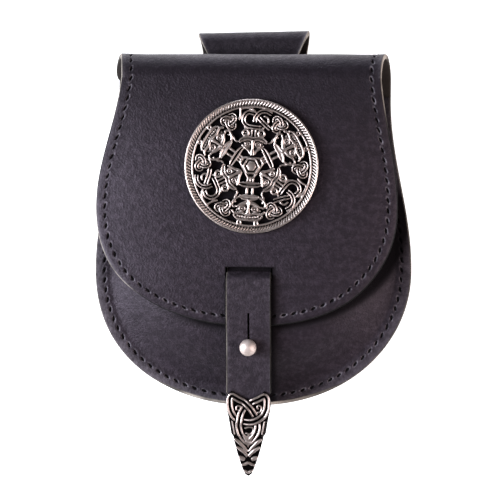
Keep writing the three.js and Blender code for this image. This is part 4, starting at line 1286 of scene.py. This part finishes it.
def interlace(casting):
    """Open ring, arch and crossing ribbons between the inner mask and the rim"""
    ring = [(3.2, 17.2, -0.4), (0.2, 17.2, 0.2), (-3.0, 17.7), (-4.7, 19.5), (-4.6, 22.0), (-3.0, 23.6),
            (-0.6, 23.4)]
    casting.ribbon(ring, 2.1, 2.0, lines=2)
    arch = [(0.2, 19.4), (0.5, 21.9, 0.2), (2.3, 24.0), (5.0, 24.5), (7.4, 23.4, -0.3)]
    casting.ribbon(arch, 2.0, 2.0, lines=2)
    slant = [(1.8, 21.6, -0.2), (3.5, 19.9, 0.2), (5.4, 18.2), (7.2, 16.8)]
    casting.ribbon(slant, 2.1, 2.05, lines=2)
    casting.ribbon([(4.0, 22.4), (5.9, 21.6), (6.1, 19.7), (4.6, 18.6, -0.5)], 1.05, 1.8)
    casting.ribbon([(-6.6, 25.6), (-6.4, 22.4), (-6.9, 20.0)], 1.05, 1.8)
    casting.ribbon([(-6.3, 25.2), (-3.4, 25.6), (-0.8, 24.9), (0.2, 23.8)], 1.05, 1.8)
    casting.both_sides([(3.5, 15.8), (4.2, 17.4)], 1.1, 1.7)


def ribbon_knot(casting):
    line = []
    for t in np.linspace(0, 2 * math.pi, 24, endpoint=False):
        x = 1.12 * (math.sin(t) + 2 * math.sin(2 * t))
        y = 1.12 * (math.cos(t) - 2 * math.cos(2 * t)) + 22
        line.append((x, y, 0.35 * math.sin(3 * t)))
    casting.ribbon(line, 1.9, 2.0, lines=2, closed=True, groove=0.7)


def along_sides(corners, parts, scale=1.0):
    """Points on the sides of a polygon, at those parts of each side"""
    points = []
    for (ax, ay), (bx, by) in zip(corners, corners[1:] + corners[:1]):
        points += [(mix(ax, bx, part) * scale, mix(ay, by, part) * scale) for part in parts]
    return points


def central_boss(casting):
    """Six-sided boss on a plate with three blunt corners"""
    corners = []
    for turn in sorted(OUTER_MASK_TURNS):
        for away in (-0.24, 0.24):
            corners.append((-6.0 * math.sin(turn + away), 6.0 * math.cos(turn + away)))
    casting.plate(corners, 0, 1.35)
    casting.ribbon(along_sides(corners, (0.12, 0.5, 0.88), 0.88), 1.05, 2.0, closed=True)
    hexagon = [(3.5 * math.cos(a), 3.5 * math.sin(a)) for a in np.radians(np.arange(0, 360, 60))]
    casting.ribbon(along_sides(hexagon, (0.1, 0.5, 0.9)), 1.0, 2.45, closed=True)
    casting.plate([(x * 0.68, y * 0.68) for x, y in hexagon], 0, 2.75, bevel=0.4)


def pierced_disc():
    casting = Casting()
    corded_rim(casting)
    central_boss(casting)
    for casting.turn in OUTER_MASK_TURNS:
        outer_mask(casting)
    for casting.turn in INNER_MASK_TURNS:
        inner_mask(casting)
        interlace(casting)
    for casting.turn in KNOT_TURNS:
        ribbon_knot(casting)
    riveted = Matrix.Translation((DISC_X, DISC_Y, FLAP_FRONT_Z + GAP)) @ Matrix.Rotation(DISC_TURN, 4, "Z")
    piece = casting.cast("pierced_disc", BAG_PLACE @ riveted, voxel=0.2, share_kept=0.38, bright_from=2.0)
    dress(piece, "antique_silver", [SILVER], "disc_mount")


pierced_disc()


# Floor, lights and camera

# Name, place and size in metres, power in watts and colour
SOFTBOXES = [
    ("left_softbox", (-0.95, 0.0, 0.55), 0.45, 18, "#eef5ff"),
    ("low_left_softbox", (-0.75, -0.3, 0.95), 0.6, 7.5, "#f9f8ff"),
    ("right_softbox", (0.6, -0.14, 0.42), 0.4, 3.6, "#fff0ee"),
    ("top_softbox", (-0.1, 0.9, 0.06), 0.3, 3, "#eaf1ff"),
]


def studio():
    bpy.ops.object.select_all(action="DESELECT")
    bpy.ops.mesh.primitive_plane_add(size=6)
    floor = bpy.context.object
    floor.name = "paper_floor"
    floor.data.materials.append(pale_floor())
    world = bpy.data.worlds.new("studio")
    bpy.context.scene.world = world
    world.use_nodes = True
    background = world.node_tree.nodes["Background"]
    feed(background, {"Color": linear("#fff6f4"), "Strength": 0.11})
    for name, place, size, power, colour in SOFTBOXES:
        light = bpy.data.lights.new(name, "AREA")
        light.shape = "SQUARE"
        light.size = size
        light.energy = power
        light.color = linear(colour)[:3]
        lamp = bpy.data.objects.new(name, light)
        lamp.location = place
        lamp.rotation_euler = (-Vector(place)).to_track_quat("-Z", "Y").to_euler()
        bpy.context.collection.objects.link(lamp)


CAMERA_RIGHT = math.radians(4.65)
CAMERA_ABOVE = math.radians(1.2)
CAMERA_ROLL = math.radians(0.55)
CAMERA_DISTANCE = 900
CAMERA_AIM = Vector((-0.2, 70.1, 15))
CAMERA_LENS = 145


def photographer():
    towards = Vector((math.sin(CAMERA_RIGHT) * math.cos(CAMERA_ABOVE), math.sin(CAMERA_ABOVE),
                      math.cos(CAMERA_RIGHT) * math.cos(CAMERA_ABOVE)))
    right = Vector((0, 1, 0)).cross(towards).normalized()
    up = towards.cross(right)
    across = right * math.cos(CAMERA_ROLL) + up * math.sin(CAMERA_ROLL)
    upright = up * math.cos(CAMERA_ROLL) - right * math.sin(CAMERA_ROLL)
    stand = Matrix((across, upright, towards)).transposed().to_4x4()
    stand.translation = CAMERA_AIM + towards * CAMERA_DISTANCE
    seen = BAG_PLACE @ stand
    seen.translation *= MM
    data = bpy.data.cameras.new("camera")
    data.lens = CAMERA_LENS
    data.sensor_width = 36
    data.clip_start = 0.05
    camera = bpy.data.objects.new("camera", data)
    camera.matrix_world = seen
    bpy.context.collection.objects.link(camera)
    bpy.context.scene.camera = camera


studio()
photographer()
bpy.context.scene.view_settings.view_transform = "Standard"
